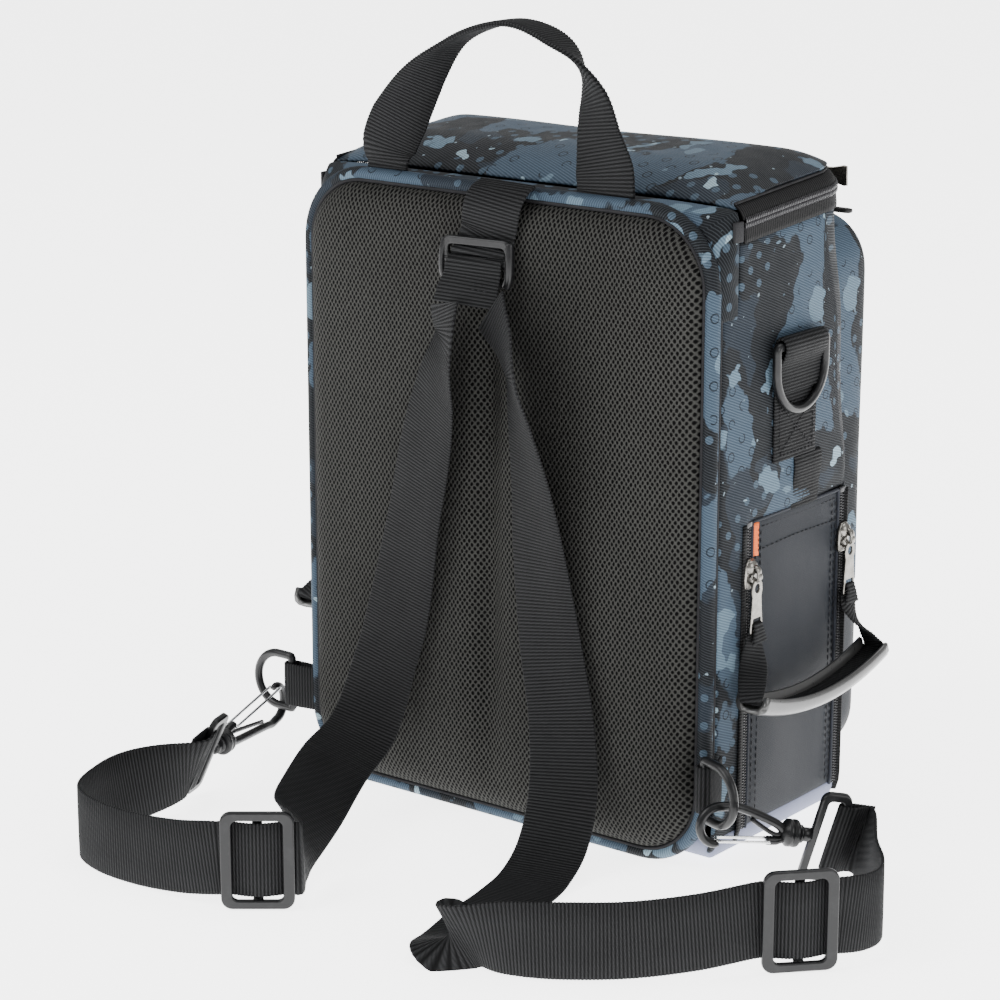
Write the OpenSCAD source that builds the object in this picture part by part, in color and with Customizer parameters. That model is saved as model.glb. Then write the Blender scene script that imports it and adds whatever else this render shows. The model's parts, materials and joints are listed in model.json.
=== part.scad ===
// Tackle backpack: padded back, zipped lid, two zipped side flaps with pull handles,
// a front pocket and two clip-on shoulder straps. X is the width, -Y the padded back, Z up.

/* [Bag body] */
// Width of the bag
bag_w = 260; // [250:1:270]
// Depth from the back seam to the front panel
bag_d = 120; // [116:1:124]
// Height of the padded back
bag_h = 335; // [330:1:340]
// Thickness of the foam-backed fabric walls
wall = 3; // [2:0.5:4]
// Thickness of the padded back
pad_t = 19; // [14:1:22]
// Radius of the padded back's corners
back_r = 40; // [34:1:44]

/* [Lid] */
// Height of the lid's split line at the hinge
split_z = 326; // [322:1:328]
// Slope of the lid towards the front, in degrees
lid_slope = 4.4; // [3:0.1:5]
// Rise of the domed lid above its zip
dome_h = 15; // [8:1:18]

/* [Side flaps] */
// Height of the flap's top edge
flap_top = 176; // [170:1:178]
// Rear edge of the flap
flap_y0 = -31; // [-34:1:-28]
// Front edge of the flap
flap_y1 = 50; // [46:1:50]
// Height of the flap zip sliders when the flap is shut
slider_z = 150; // [146:1:154]

/* [Front pocket] */
// Depth of the front pocket
pocket_d = 46; // [38:1:50]
// Height of the seam between the pocket's lower tub and its door
pocket_seam_z = 110; // [100:1:120]
// Height of the top of the pocket door
pocket_top = 312; // [300:1:314]

/* [Webbing and hardware] */
// Width of the shoulder strap webbing
web_w = 38; // [36:1:40]
// Thickness of the webbing
web_t = 1.6; // [1.2:0.1:2]
// Width of the narrow webbing on the pull handles
narrow_w = 15; // [12:1:16]
// Radius of the rod that the rings are moulded from
ring_r = 2.3; // [2:0.1:2.5]

/* [Hidden] */
$fn = 48;

hw = bag_w / 2;                       // half width
back_y = -bag_d / 2;                  // seam plane of the padded back
front_y = bag_d / 2;                  // outer face of the front panel
board_y = back_y + wall;              // inner plane of the back board
hinge_y = back_y + 14;                // lid hinge line
zip_half = 6;                         // height of each half of the lid zip
split_gap = 0.3;                      // half of the gap between two zip halves
hinge_z = split_z + zip_half;         // lid hinge height, on the lid's top skin
lid_v = front_y - hinge_y;            // length of the lid from hinge to front
pocket_y = front_y + pocket_d;        // outer face of the front pocket
pocket_hw = 115;                      // half width of the pocket
pocket_r = 30;                        // radius of its top corners

// ---- small helpers ----
function unit(v) = v / norm(v);
function mix(a, b, t) = a + (b - a) * t;
// point on a Catmull-Rom curve through a, b, c, d, at t between b and c
function cr(a, b, c, d, t) =
    0.5 * (2 * b + (c - a) * t + (2 * a - 5 * b + 4 * c - d) * t * t + (3 * b - a - 3 * c + d) * t * t * t);
function at(l, i) = l[max(0, min(len(l) - 1, i))];
// a list of [point, width direction, width], with k steps on each span
function smooth(st, k) = [
    for (i = [0 : len(st) - 2], j = [0 : k - 1])
        let (t = j / k)
        [for (c = [0, 1]) cr(at(st, i - 1)[c], st[i][c], st[i + 1][c], at(st, i + 2)[c], t),
         mix(st[i][2], st[i + 1][2], t)],
    st[len(st) - 1]
];
// four corners of one cross-section of a flat strip
function section(st, i, t) =
    let (tg = unit(at(st, i + 1)[0] - at(st, i - 1)[0]),
         w0 = st[i][1] - tg * (tg * st[i][1]),
         w = unit(w0) * st[i][2] / 2,
         n = unit(cross(tg, w)) * t / 2,
         p = st[i][0])
    [p + w + n, p - w + n, p - w - n, p + w - n];

// a flat strip of webbing through the stations
module ribbon(stations, t = web_t, k = 3) {
    st = smooth(stations, k);
    m = len(st);
    pts = [for (i = [0 : m - 1]) each section(st, i, t)];
    sides = [for (i = [0 : m - 2], e = [0 : 3])
        let (a = 4 * i + e, b = 4 * i + (e + 1) % 4)
        each [[a, a + 4, b], [b, a + 4, b + 4]]];
    ends = [[0, 1, 2], [0, 2, 3], [4 * m - 2, 4 * m - 3, 4 * m - 4], [4 * m - 1, 4 * m - 2, 4 * m - 4]];
    polyhedron(points = pts, faces = concat(sides, ends));
}

module rrect(w, h, r) {
    square([w - 2 * r, h], center = true);
    square([w, h - 2 * r], center = true);
    for (sx = [-1, 1], sy = [-1, 1]) translate([sx * (w / 2 - r), sy * (h / 2 - r)]) circle(r);
}

// 2-D outline drawn in X and Z, from y0 to y0 + t
module upright(y0, t) translate([0, y0 + t, 0]) rotate([90, 0, 0]) linear_extrude(t) children();
// 2-D outline drawn in Y and Z, from x0 to x0 + t
module sideways(x0, t) translate([x0, 0, 0]) rotate([90, 0, 90]) linear_extrude(t) children();
module box(a, b) translate(a) cube(b - a);
module left_of() mirror([1, 0, 0]) children();
// the lid's own frame: origin on the split line under the hinge, Y along the lid
module lid_frame() translate([0, hinge_y, split_z]) rotate([lid_slope, 0, 0]) children();

// ---- shell ----
module base_panel() color([0.20, 0.22, 0.27])
    translate([0, (front_y + board_y) / 2, 0]) linear_extrude(wall)
        rrect(bag_w, front_y - board_y, 10);

module back_board() color([0.15, 0.15, 0.16])
    upright(back_y, wall) translate([0, bag_h / 2]) rrect(bag_w - 8, bag_h - 8, back_r - 4);

module back_pad() color([0.17, 0.17, 0.16])
    difference() {
        upright(back_y - pad_t + 3, pad_t - 3)
            translate([0, bag_h / 2]) rrect(bag_w - 14, bag_h - 14, back_r - 7);
        // shallow channel between the two pads
        box([-6, back_y - pad_t, 60], [6, back_y - pad_t + 8, bag_h - 70]);
    }

module back_piping() color([0.25, 0.32, 0.38])
    upright(back_y - 8, 8) difference() {
        translate([0, bag_h / 2]) rrect(bag_w, bag_h, back_r);
        translate([0, bag_h / 2]) rrect(bag_w - 13, bag_h - 13, back_r - 6.5);
    }

module side_panel() color([0.25, 0.32, 0.38])
    sideways(hw - wall, wall) polygon([
        [board_y, wall], [flap_y0 - 6, wall], [flap_y0 - 6, flap_top + 2], [front_y - wall, flap_top + 2],
        [front_y - wall, split_z - zip_half + (front_y - wall - hinge_y) * tan(lid_slope)],
        [board_y, split_z - zip_half + (board_y - hinge_y) * tan(lid_slope)]
    ]);

module front_panel() color([0.22, 0.28, 0.34])
    box([-hw, front_y - wall, wall],
        [hw, front_y, split_z - zip_half - 0.5 + (lid_v - wall) * tan(lid_slope)]);

module divider_panel() color([0.12, 0.12, 0.13])
    box([-hw + wall, board_y, flap_top + 2.5], [hw - wall, front_y - wall, flap_top + 5.5]);

module lid_gusset() color([0.25, 0.32, 0.38]) {
    box([-hw + 18, board_y, hinge_z - 4], [hw - 18, hinge_y - 0.5, hinge_z - 1]);
    box([-hw + 18, board_y, split_z - 10], [hw - 18, board_y + 2, hinge_z - 4]);
}

// U-shaped half of the lid zip, drawn in the lid's frame
module lid_zip_half(chain_w) {
    difference() {
        translate([-hw, 0, 0]) cube([bag_w, lid_v, zip_half - split_gap]);
        translate([-hw + wall, -1, -1]) cube([bag_w - 2 * wall, lid_v + 1 - wall, zip_half + 2]);
    }
    // raised teeth along the split line
    translate([0, 0, chain_w]) difference() {
        translate([-hw - 0.8, 4, 0]) cube([bag_w + 1.6, lid_v - 3.2, 1.6]);
        translate([-hw + 1, -1, -1]) cube([bag_w - 2, lid_v, 4]);
    }
}

module body_zip() color([0.07, 0.07, 0.08])
    lid_frame() translate([0, 0, -zip_half]) lid_zip_half(zip_half - split_gap - 1.6);

module lid_zip() color([0.07, 0.07, 0.08])
    lid_frame() translate([0, 0, split_gap]) lid_zip_half(0);

module zip_stops() color([0.05, 0.05, 0.05])
    for (s = [-1, 1]) box([s * (hw + 0.5) - 0.5, hinge_y - 7, split_z - 7],
                          [s * (hw + 0.5) + 0.5, hinge_y + 2.5, split_z - 1]);

module lid_panel() color([0.24, 0.31, 0.37])
    lid_frame() translate([0, 0, zip_half]) difference() {
        dome(0);
        translate([0, 0, -0.01]) dome(wall);
    }

// low pillow shape over the zip, inset by d all round
module dome(d) hull() {
    for (sx = [-1, 1]) {
        translate([sx * (hw - 24), lid_v - 24, 0]) cylinder(r = 24 - d, h = 0.6, $fn = 32);
        translate([sx * (hw - 6), 6.5, 0]) cylinder(r = 6 - d, h = 0.6, $fn = 32);
        translate([sx * (hw - 40), lid_v - 42, 0]) cylinder(r = 30 - d, h = dome_h * 0.72 - d, $fn = 32);
        translate([sx * (hw - 80), lid_v - 50, 0]) cylinder(r = 24 - d, h = dome_h - d, $fn = 32);
    }
}

// ---- zip sliders ----
bridge_x = 5.2;                       // height of a slider's bridge bar over its plate
// outer plate of a slider and its bridge; the zip runs along Z, the face looks along +X
module slider_plate() {
    translate([0, -5, -7]) cube([1.5, 10, 14]);
    for (s = [-1, 1]) translate([0, s * 3.2 - 0.8, -2]) cube([bridge_x + 1, 1.6, 4]);
    translate([bridge_x, 4, 0]) rotate([90, 0, 0]) cylinder(r = 1, h = 8);
}
// metal pull that hangs from a slider's bridge
module pull_tag(len_) {
    translate([bridge_x, 2, 0]) rotate([90, 0, 0]) difference() {
        cylinder(r = 3, h = 4);
        translate([0, 0, -1]) cylinder(r = 1.6, h = 6);
    }
    translate([bridge_x - 0.6, -2, -len_]) cube([1.2, 4, len_ - 2.4]);
    translate([bridge_x - 0.6, -4.5, -len_]) cube([1.2, 9, len_ - 9]);
}

lid_slider_x = [98, 64];              // the two lid sliders at rest
module at_lid_slider(x) lid_frame() translate([x, lid_v + 1.4, 0])
    rotate([0, 0, 90]) rotate([90, 0, 0]) children();

module lid_slider(i) color([0.7, 0.69, 0.67]) at_lid_slider(lid_slider_x[i]) slider_plate();
// the two pulls point away from each other
module lid_pull(i) color([0.75, 0.74, 0.72])
    at_lid_slider(lid_slider_x[i]) mirror([0, 0, 1 - i]) pull_tag(22);

// ---- side flaps ----
module body_tracks() color([0.07, 0.07, 0.08]) {
    sideways(hw - wall, wall) {
        translate([flap_y0 - 5.6, wall + 0.5]) square([2.4, flap_top - wall + 0.5]);
        translate([flap_y1 + 3.2, wall + 0.5]) square([front_y - wall - flap_y1 - 3.4, flap_top - wall + 0.5]);
    }
}
module flap_tracks() color([0.07, 0.07, 0.08])
    sideways(hw - wall, wall + 0.3) {
        translate([flap_y0 - 2.8, wall + 2.5]) square([2.8, flap_top - wall - 3]);
        translate([flap_y1, wall + 2.5]) square([2.8, flap_top - wall - 3]);
    }
module flap() color([0.25, 0.27, 0.32])
    sideways(hw - wall, wall) translate([flap_y0, wall + 2.5])
        square([flap_y1 - flap_y0, flap_top - wall - 2.5]);
module flap_tag() color([0.85, 0.33, 0.12])
    box([hw + 0.3, flap_y0 + 0.5, flap_top - 18], [hw + 1.3, flap_y0 + 5, flap_top - 1]);

track_y = [flap_y0 - 3, flap_y1 + 3]; // lines between the two halves of each flap zip
module sliders() color([0.7, 0.69, 0.67])
    for (y = track_y) translate([hw + 0.8, y, slider_z]) slider_plate();
pull_len = 30;
module zip_pulls() color([0.75, 0.74, 0.72])
    for (y = track_y) translate([hw + 0.8, y, slider_z]) pull_tag(pull_len);

grip_x = hw + 16;
grip_r = 170;                         // radius of the sagging grip
grip_mid = [grip_x, 6, 80];           // lowest point of the grip's centre line
grip_half = 20;                       // half of the angle that the grip covers
// place on the grip's arc, a degrees from its lowest point
function on_grip(a) = grip_mid + grip_r * [0, sin(a), 1 - cos(a)];
pull_route = [
    [[hw + 6, track_y[0], slider_z - pull_len - 2.8], [0, 1, 0], 9],
    [[hw + 6.5, track_y[0] - 2, 110], [0, 1, 0], narrow_w],
    [[hw + 10, track_y[0] - 8, 100], [0.3, 1, 0], narrow_w],
    [on_grip(-grip_half - 2), [1, 0, 0], narrow_w],
    for (a = [-grip_half : 8 : grip_half]) [on_grip(a), [1, 0, 0], 10],
    [on_grip(grip_half + 2), [1, 0, 0], narrow_w],
    [[hw + 11, track_y[1] + 9, 106], [0.3, -1, 0], narrow_w],
    [[hw + 6.5, track_y[1] + 4, 112], [0, -1, 0], narrow_w],
    [[hw + 6, track_y[1], slider_z - pull_len - 2.8], [0, -1, 0], 9]
];
module pull_webbing() color([0.06, 0.06, 0.07]) ribbon(pull_route, 1.4, 2);

// moulded channel round the webbing, open on top
module grip() color([0.62, 0.63, 0.62])
    translate(grip_mid + [0, 0, grip_r]) rotate([0, 90, 0]) rotate([0, 0, -grip_half])
        rotate_extrude(angle = 2 * grip_half, $fn = 180) translate([grip_r, 0]) difference() {
            translate([-4, -9]) square([9, 18]);
            translate([-5, -6]) square([8, 12]);
        }

// ---- front pocket ----
module pocket_outline(d, z0, z1, r0, r1) difference() {
    union() {
        translate([-pocket_hw + d, z0 + r0]) square([2 * (pocket_hw - d), z1 - z0 - r0 - r1]);
        translate([-pocket_hw + r0 + d, z0]) square([2 * (pocket_hw - r0 - d), max(r0, 1)]);
        translate([-pocket_hw + r1 + d, z1 - max(r1, 1)]) square([2 * (pocket_hw - r1 - d), max(r1, 1)]);
        if (r0 > 0) for (s = [-1, 1]) translate([s * (pocket_hw - r0 - d), z0 + r0]) circle(r0);
        if (r1 > 0) for (s = [-1, 1]) translate([s * (pocket_hw - r1 - d), z1 - r1]) circle(r1);
    }
}
module pocket_tub() color([0.25, 0.27, 0.32]) difference() {
    upright(front_y + 0.2, pocket_d - 2) pocket_outline(0, 14, pocket_seam_z, 28, 0);
    upright(front_y, pocket_d - 2 - wall + 0.2)
        pocket_outline(wall, 14 + wall, pocket_seam_z + 1, 28 - wall, 0);
}
module pocket_door() color([0.24, 0.31, 0.37]) {
    difference() {
        upright(front_y + 3.4, pocket_d - 3.4) pocket_outline(0, pocket_seam_z + 0.6, pocket_top, 0, pocket_r);
        upright(front_y, pocket_d - wall) pocket_outline(wall, pocket_seam_z - 2, pocket_top - wall, 0, pocket_r - 3);
    }
}
module pocket_zip() color([0.07, 0.07, 0.08])
    upright(front_y + 0.2, 2.8) difference() {
        pocket_outline(0.5, pocket_seam_z + 0.6, pocket_top - 0.5, 0, pocket_r);
        pocket_outline(4, pocket_seam_z - 2, pocket_top - 4, 0, pocket_r - 3);
    }
pocket_slider_at = [84, front_y + 3.2, pocket_top + 0.4];
module pocket_slider() color([0.1, 0.1, 0.1]) translate(pocket_slider_at) {
    translate([-6, -2.6, 0]) cube([12, 5.2, 1.3]);
    for (s = [-1, 1]) translate([-1.5, s * 2.3 - 0.4, 0]) cube([3, 0.8, 6.2]);
    translate([0, 2.6, bridge_x]) rotate([90, 0, 0]) cylinder(r = 1, h = 5.2);
}
module pocket_pull() color([0.06, 0.06, 0.06]) translate(pocket_slider_at + [0, 0, bridge_x]) {
    rotate([90, 0, 0]) translate([0, 0, -1.6]) difference() {
        cylinder(r = 2.8, h = 3.2);
        translate([0, 0, -1]) cylinder(r = 1.6, h = 6);
    }
    translate([2.2, -1.5, -0.8]) cube([8, 3, 1.6]);
    translate([9, -2.5, -1.2]) cube([32, 5, 2.4]);
}

// ---- rings, tabs, patches ----
// D-shaped ring in the plane of X and Z: bar along Z at the origin, bow towards +X
module d_ring(w, reach) {
    r = ring_r;
    R = w / 2;
    cylinder(r = r, h = w, center = true);
    for (s = [-1, 1]) {
        translate([0, 0, s * w / 2]) sphere(r);
        translate([0, 0, s * w / 2]) rotate([0, 90, 0]) cylinder(r = r, h = reach - R);
    }
    translate([reach - R, 0, 0]) rotate([90, 0, 0]) rotate([0, 0, -90])
        rotate_extrude(angle = 180, $fn = 96) translate([R, 0]) circle(r);
}
// webbing folded round a D-ring's bar: a sleeve and two layers going back by len_
module fold(h, len_, gap = 0.3) {
    translate([0, 0, -h / 2]) linear_extrude(h) difference() {
        union() {
            circle(ring_r + gap + web_t);
            translate([-len_, -ring_r - gap - web_t]) square([len_, 2 * (ring_r + gap + web_t)]);
        }
        circle(ring_r + gap);
        translate([-len_ - 1, -ring_r - gap]) square([len_ + 1, 2 * (ring_r + gap)]);
    }
}

low_ring = [135, back_y - 16, 50];      // bar of the right lower D-ring
low_ring_l = [-145, back_y - 6, 45];    // bar of the left lower D-ring
low_ring_turn = -20;                    // the right ring's bow is swung towards the back
ring_w = 30;
ring_reach = 25;
module right_ring() color([0.08, 0.08, 0.09])
    translate(low_ring) rotate([0, 0, low_ring_turn]) d_ring(ring_w, ring_reach);
module left_ring() color([0.08, 0.08, 0.09])
    translate(low_ring_l) rotate([0, 0, 180]) d_ring(ring_w, ring_reach);
module right_tab() color([0.06, 0.06, 0.07]) translate(low_ring) rotate([0, 0, -90]) fold(24, 14);
module left_tab() color([0.06, 0.06, 0.07])
    translate(low_ring_l) rotate([0, 0, 180]) fold(24, 14.8);

side_ring_z = 262;
side_ring_y = 2;
module side_ring() color([0.08, 0.08, 0.09])
    translate([hw + 5.8, side_ring_y, side_ring_z]) rotate([0, 0, 90]) rotate([0, 90, 0]) d_ring(44, 34);
module side_patch() color([0.06, 0.06, 0.07]) {
    translate([hw + 5.8, side_ring_y, side_ring_z]) rotate([0, 0, 90]) rotate([0, 90, 0])
        rotate([0, 0, 180]) fold(38, 5);
    box([hw + 0.2, side_ring_y - 22, 202], [hw + 1.6, side_ring_y + 22, side_ring_z - 6]);
}
module flap_loops() color([0.06, 0.06, 0.07])
    for (s = [-1, 1]) {
        x0 = s * (hw + 1.4);
        box([x0 - 0.8, 3, flap_top + 3], [x0 + 0.8, 28, 201]);
    }

// ---- top tab, buckle and the seam of the two straps ----
buckle_z = 299;
buckle_turn = 6;                       // the buckle's lean to one side, in degrees
pad_y = back_y - pad_t;                // outermost plane of the padded back
module top_tab() color([0.06, 0.06, 0.07])
    ribbon([
        [[7, back_y - 9.8, 335], [1, 0.1, 0], 34], [[7, back_y - 16, 333], [1, 0.1, 0], 34],
        [[6, pad_y - 1.2, 326], [1, 0.1, 0], 33], [[4, pad_y - 1.6, 314], [1, 0.1, 0], 32],
        [[1, pad_y - 1.6, buckle_z - 6], [1, 0.1, 0], 31]
    ], 2, 2);
module top_buckle() color([0.09, 0.09, 0.1])
    translate([0, pad_y - 5.4, buckle_z]) rotate([90, 0, buckle_turn])
        translate([0, 0, -2]) linear_extrude(4) difference() {
            rrect(42, 24, 5);
            translate([0, 4.8]) rrect(33, 5, 2);
            translate([0, -4.8]) rrect(33, 5, 2);
        }
module strap_cap() color([0.06, 0.06, 0.07])
    ribbon([
        [[1, pad_y - 9.4, buckle_z + 2], [1, 0.1, 0], 32], [[1, pad_y - 11, buckle_z - 6], [1, 0.1, 0], 33],
        [[1, pad_y - 14.5, buckle_z - 13], [1, 0.1, 0], 36]
    ], 2.4, 2);

// ---- shoulder straps: stations of [point, direction across the webbing, width] ----
web_up = [0, 0, 1];
web_down = [0, 0, -1];
glide_z = 25.2;                        // middle of a tri-glide that stands on its end
left_glide = [-17, -235, glide_z];      // middle of the left tri-glide
left_glide_a = 38;                     // its heading
right_glide = [230, -136, glide_z];
right_glide_a = 47;
// point u along a tri-glide's heading and d out of its face, towards the back
function by_glide(p, a, u, d) = p + u * [cos(a), sin(a), 0] + d * [sin(a), -cos(a), 0];
// the webbing runs behind the frame and over the bar
glide_pass = [[21, -3.4], [14, -3.4], [4, -0.5], [-4, -0.5], [-14, -3.4], [-21, -3.4]];

hook_r = [172, -48, 27];               // swivel collar of the right hook
eye_r = [147.3, -80.5, 35.3];           // centre of its eye, round the ring's lower side
hook_l = [-143, -127, 27];
eye_l = [-158, -66, 30.3];
ring_back = 25;                        // from the collar to the end of the webbing
function past(p, q, d) = p - unit(q - p) * d;

left_route = [
    [[-13, -94, 278], [0.86, -0.5, 0.1], 36], [[-11, -98, 258], [0.77, -0.64, 0.03], web_w],
    [[-21, -93, 228], [0.9, -0.35, 0.2], web_w], [[-31, -89, 196], [0.97, -0.18, 0.18], web_w],
    [[-40, -87, 160], [0.97, -0.14, 0.18], web_w], [[-50, -86, 115], [0.97, 0.03, 0.15], web_w],
    [[-59, -87, 83], [0.97, 0.1, 0.1], web_w], [[-67, -96, 46], [0.93, 0.25, -0.2], web_w],
    [[-62, -126, 34], [0.82, 0.35, -0.42], web_w], [[-41, -167, 31], [0.74, 0.38, -0.55], web_w],
    [[-27, -194, 28], [0.55, 0.2, -0.8], web_w], [[-13, -209, 26], [0.2, 0.05, -0.98], web_w],
    for (g = glide_pass) [by_glide(left_glide, left_glide_a, g[0], g[1]), web_down, web_w],
    [[-56, -250, 22.6], web_down, web_w], [[-84, -252, 20.5], web_down, web_w],
    [[-112, -250, 20], web_down, web_w], [[-134, -240, 20], web_down, web_w],
    [[-145, -218, 20], [0.05, 0, -1], web_w], [[-147, -190, 20.5], [0.15, 0, -1], web_w],
    [[-145, -166, 21.5], [0.3, 0, -0.95], web_w],
    [past(hook_l, eye_l, ring_back), [0.42, 0, -0.9], web_w]
];
right_route = [
    [[16, -94, 278], [0.86, -0.4, 0.3], 36], [[27, -98, 264], [0.72, -0.6, 0.35], web_w],
    [[34, -101, 246], [0.66, -0.72, 0.2], web_w], [[37, -98, 225], [0.75, -0.6, 0.2], web_w],
    [[40, -92, 190], [0.9, -0.4, 0.2], web_w], [[42, -87, 150], [0.97, -0.15, 0.2], web_w],
    [[48, -86, 108], [0.99, 0.05, 0.12], web_w], [[56, -88, 72], [0.98, 0.12, 0.1], web_w],
    [[62, -94, web_w], [0.97, 0.2, 0.05], web_w], [[65, -106, 14], [0.97, 0.2, 0], web_w],
    [[69, -126, 3], [0.98, 0.15, 0], web_w], [[74, -150, 1.2], [0.98, 0.2, 0], web_w],
    [[79, -180, 1.2], [0.98, 0.18, 0], web_w], [[84, -205, 2.5], [0.97, 0.1, 0.15], web_w],
    [[92, -224, 10], [0.85, -0.2, 0.5], 36], [[106, -230, 16.5], [0.5, -0.3, 0.8], 37],
    [[124, -226, 19], [0.15, -0.1, 0.98], web_w], [[147, -215, 20], web_up, web_w],
    [[174, -195, 20.6], web_up, web_w], [[197, -172, 22.8], web_up, web_w],
    for (g = [len(glide_pass) - 1 : -1 : 0])
        [by_glide(right_glide, right_glide_a, glide_pass[g][0], glide_pass[g][1]), web_up, web_w],
    [[246, -106, 23.6], web_up, web_w], [[245, -91, 22], web_up, web_w],
    [[236, -74, 20.4], web_up, web_w], [[220, -56, 20.5], [0.1, 0, 1], web_w],
    [[204, -42, 21], [0.2, 0.1, 0.98], web_w],
    [past(hook_r, eye_r, ring_back), [0.25, 0.1, 0.95], web_w]
];
module left_strap() color([0.06, 0.06, 0.07]) ribbon(left_route);
module right_strap() color([0.06, 0.06, 0.07]) ribbon(right_route);

// tri-glide in X and Y, its back face towards -Z: outer frame, and a bar behind the webbing
module triglide() {
    translate([0, 0, -1.6]) linear_extrude(3.2) difference() {
        rrect(36, 50, 5);
        rrect(25, 41, 3);
    }
    translate([-2.2, -22.4, -4.1]) cube([4.4, 44.8, 2.2]);
    for (s = [-1, 1]) translate([-2.2, s * 22.1 - 1.3, -4.1]) cube([4.4, 2.6, 4.1]);
}
// stood on edge, its face turned by a about the vertical
module stood(p, a) translate(p) rotate([0, 0, a]) rotate([90, 0, 0]) children();
module left_triglide() color([0.09, 0.09, 0.1]) stood(left_glide, left_glide_a) triglide();
module right_triglide() color([0.09, 0.09, 0.1]) stood(right_glide, right_glide_a) triglide();

// ---- snap hooks: local X runs from the swivel to the eye, the throat lies in X and Y ----
function heading(from, to) =
    let (d = to - from) [0, -asin(d[2] / norm(d)), atan2(d[1], d[0])];
module at_hook(p, q, roll) translate(p) rotate(heading(p, q)) rotate([roll, 0, 0]) children();

eye_in = 7.5;                           // inner radius of the hook's eye
eye_out = 12;                           // outer radius
gate_at = [15, -5];                     // gate pivot
gate_r = 0.75;                          // radius of the gate's wire
module hook_body(len_) {
    // swivel collar
    rotate([0, 90, 0]) difference() {
        cylinder(r = 7, h = 7);
        translate([0, 0, -1]) cylinder(r = 2.65, h = 6);
    }
    // back of the hook and the eye, a flat moulding 4.6 mm thick
    translate([0, 0, -2.3]) linear_extrude(4.6) difference() {
        union() {
            polygon([[6, -5], [6, 5], [len_ - 6, eye_out], [len_, eye_out], [len_, eye_in],
                     [len_ - 8, eye_in], [12, 1], [12, -4]]);
            translate([11, gate_at[1] - 2.4]) square([4, 4.8]);
            translate(gate_at) circle(2.4);
            translate([len_, 0]) difference() {
                circle(eye_out);
                circle(eye_in);
                translate([-20, -20]) square([20, 27.4]);
            }
        }
        translate(gate_at) circle(gate_r + 0.09);
    }
}
module gate(len_) {
    for (s = [-1, 1]) translate([gate_at[0], gate_at[1], s * 3.2]) rotate([0, 90, -5])
        cylinder(r = gate_r, h = len_ - 14, $fn = 24);
    translate([gate_at[0], gate_at[1], 0]) cylinder(r = gate_r, h = 7.9, center = true, $fn = 24);
}
// rectangular loop for the webbing, with the swivel pin on it
module strap_ring() {
    translate([-15, 0, 0]) rotate([90, 0, 0]) translate([0, 0, -1.7]) linear_extrude(3.4) difference() {
        rrect(16, 50, 4);
        translate([0.2, 0]) rrect(8, 41, 2);
    }
    translate([-7.2, 0, 0]) rotate([0, 90, 0]) cylinder(r = 2.6, h = 11);
}
len_r = norm(eye_r - hook_r);
len_l = norm(eye_l - hook_l);
module right_hook() color([0.09, 0.09, 0.1]) at_hook(hook_r, eye_r, 90) hook_body(len_r);
module left_hook() color([0.09, 0.09, 0.1]) at_hook(hook_l, eye_l, -90) hook_body(len_l);
module right_gate() color([0.8, 0.8, 0.8]) at_hook(hook_r, eye_r, 90) gate(len_r);
module left_gate() color([0.8, 0.8, 0.8]) at_hook(hook_l, eye_l, -90) gate(len_l);
module right_strap_ring() color([0.09, 0.09, 0.1]) at_hook(hook_r, eye_r, -12) strap_ring();
module left_strap_ring() color([0.09, 0.09, 0.1]) at_hook(hook_l, eye_l, 25) strap_ring();

// ---- carry handle: full-width webbing at both ends, folded double in the grip ----
handle_y = back_y - 2;
module carry_handle() color([0.06, 0.06, 0.07])
    ribbon([
        [[-76, handle_y, 338.6], [1, 0, 0], 26], [[-75, handle_y, 348], [0.96, 0.28, 0], 30],
        [[-68, handle_y, 362], [0.85, 0.4, 0], 30], [[-51, handle_y, 386], [0.5, 0.6, 0], 24],
        [[-32, handle_y, 403], [0.1, 1, 0], 19], [[-12, handle_y, 412], [0, 1, 0], 19],
        [[8, handle_y, 415], [0, 1, 0], 19], [[28, handle_y, 410], [0.1, 1, 0], 19],
        [[44, handle_y, 399], [-0.4, 0.6, 0], 22], [[54, handle_y, 382], [-0.8, 0.4, 0], 28],
        [[58, handle_y, 362], [-0.97, 0.2, 0], 32], [[61, handle_y, 348], [-1, 0, 0], 34],
        [[62, handle_y, 338.6], [-1, 0, 0], 34]
    ], 2.6, 3);

// ---- every node ----
base_panel();
back_board();
back_pad();
back_piping();
side_panel();  // right_side_panel
left_of() side_panel();  // left_side_panel
front_panel();
divider_panel();
lid_gusset();
body_zip();
zip_stops();
body_tracks();  // right_body_tracks
left_of() body_tracks();  // left_body_tracks
pocket_tub();
pocket_zip();
side_patch();  // right_side_patch
left_of() side_patch();  // left_side_patch
flap_loops();
right_tab();
left_tab();
top_tab();
top_buckle();
strap_cap();
left_strap();
right_strap();
left_triglide();
right_triglide();
left_strap_ring();
right_strap_ring();
lid_panel();
lid_zip();
lid_slider(0);  // lid_right_slider
lid_pull(0);  // lid_right_pull
lid_slider(1);  // lid_left_slider
lid_pull(1);  // lid_left_pull
flap();  // right_flap
left_of() flap();  // left_flap
flap_tracks();  // right_flap_tracks
left_of() flap_tracks();  // left_flap_tracks
flap_tag();
sliders();  // right_sliders
left_of() sliders();  // left_sliders
zip_pulls();  // right_zip_pulls
left_of() zip_pulls();  // left_zip_pulls
pull_webbing();  // right_pull_webbing
left_of() pull_webbing();  // left_pull_webbing
grip();  // right_grip
left_of() grip();  // left_grip
right_hook();
left_hook();
right_gate();
left_gate();
right_ring();
left_ring();
side_ring();  // right_side_ring
left_of() side_ring();  // left_side_ring
carry_handle();
pocket_door();
pocket_slider();
pocket_pull();
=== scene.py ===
"""Tackle backpack: fabrics, webbing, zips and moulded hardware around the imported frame.

Lengths in this script are millimetres until a mesh is made. X is the width, -Y the padded back.
"""
import json
import math

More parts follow.
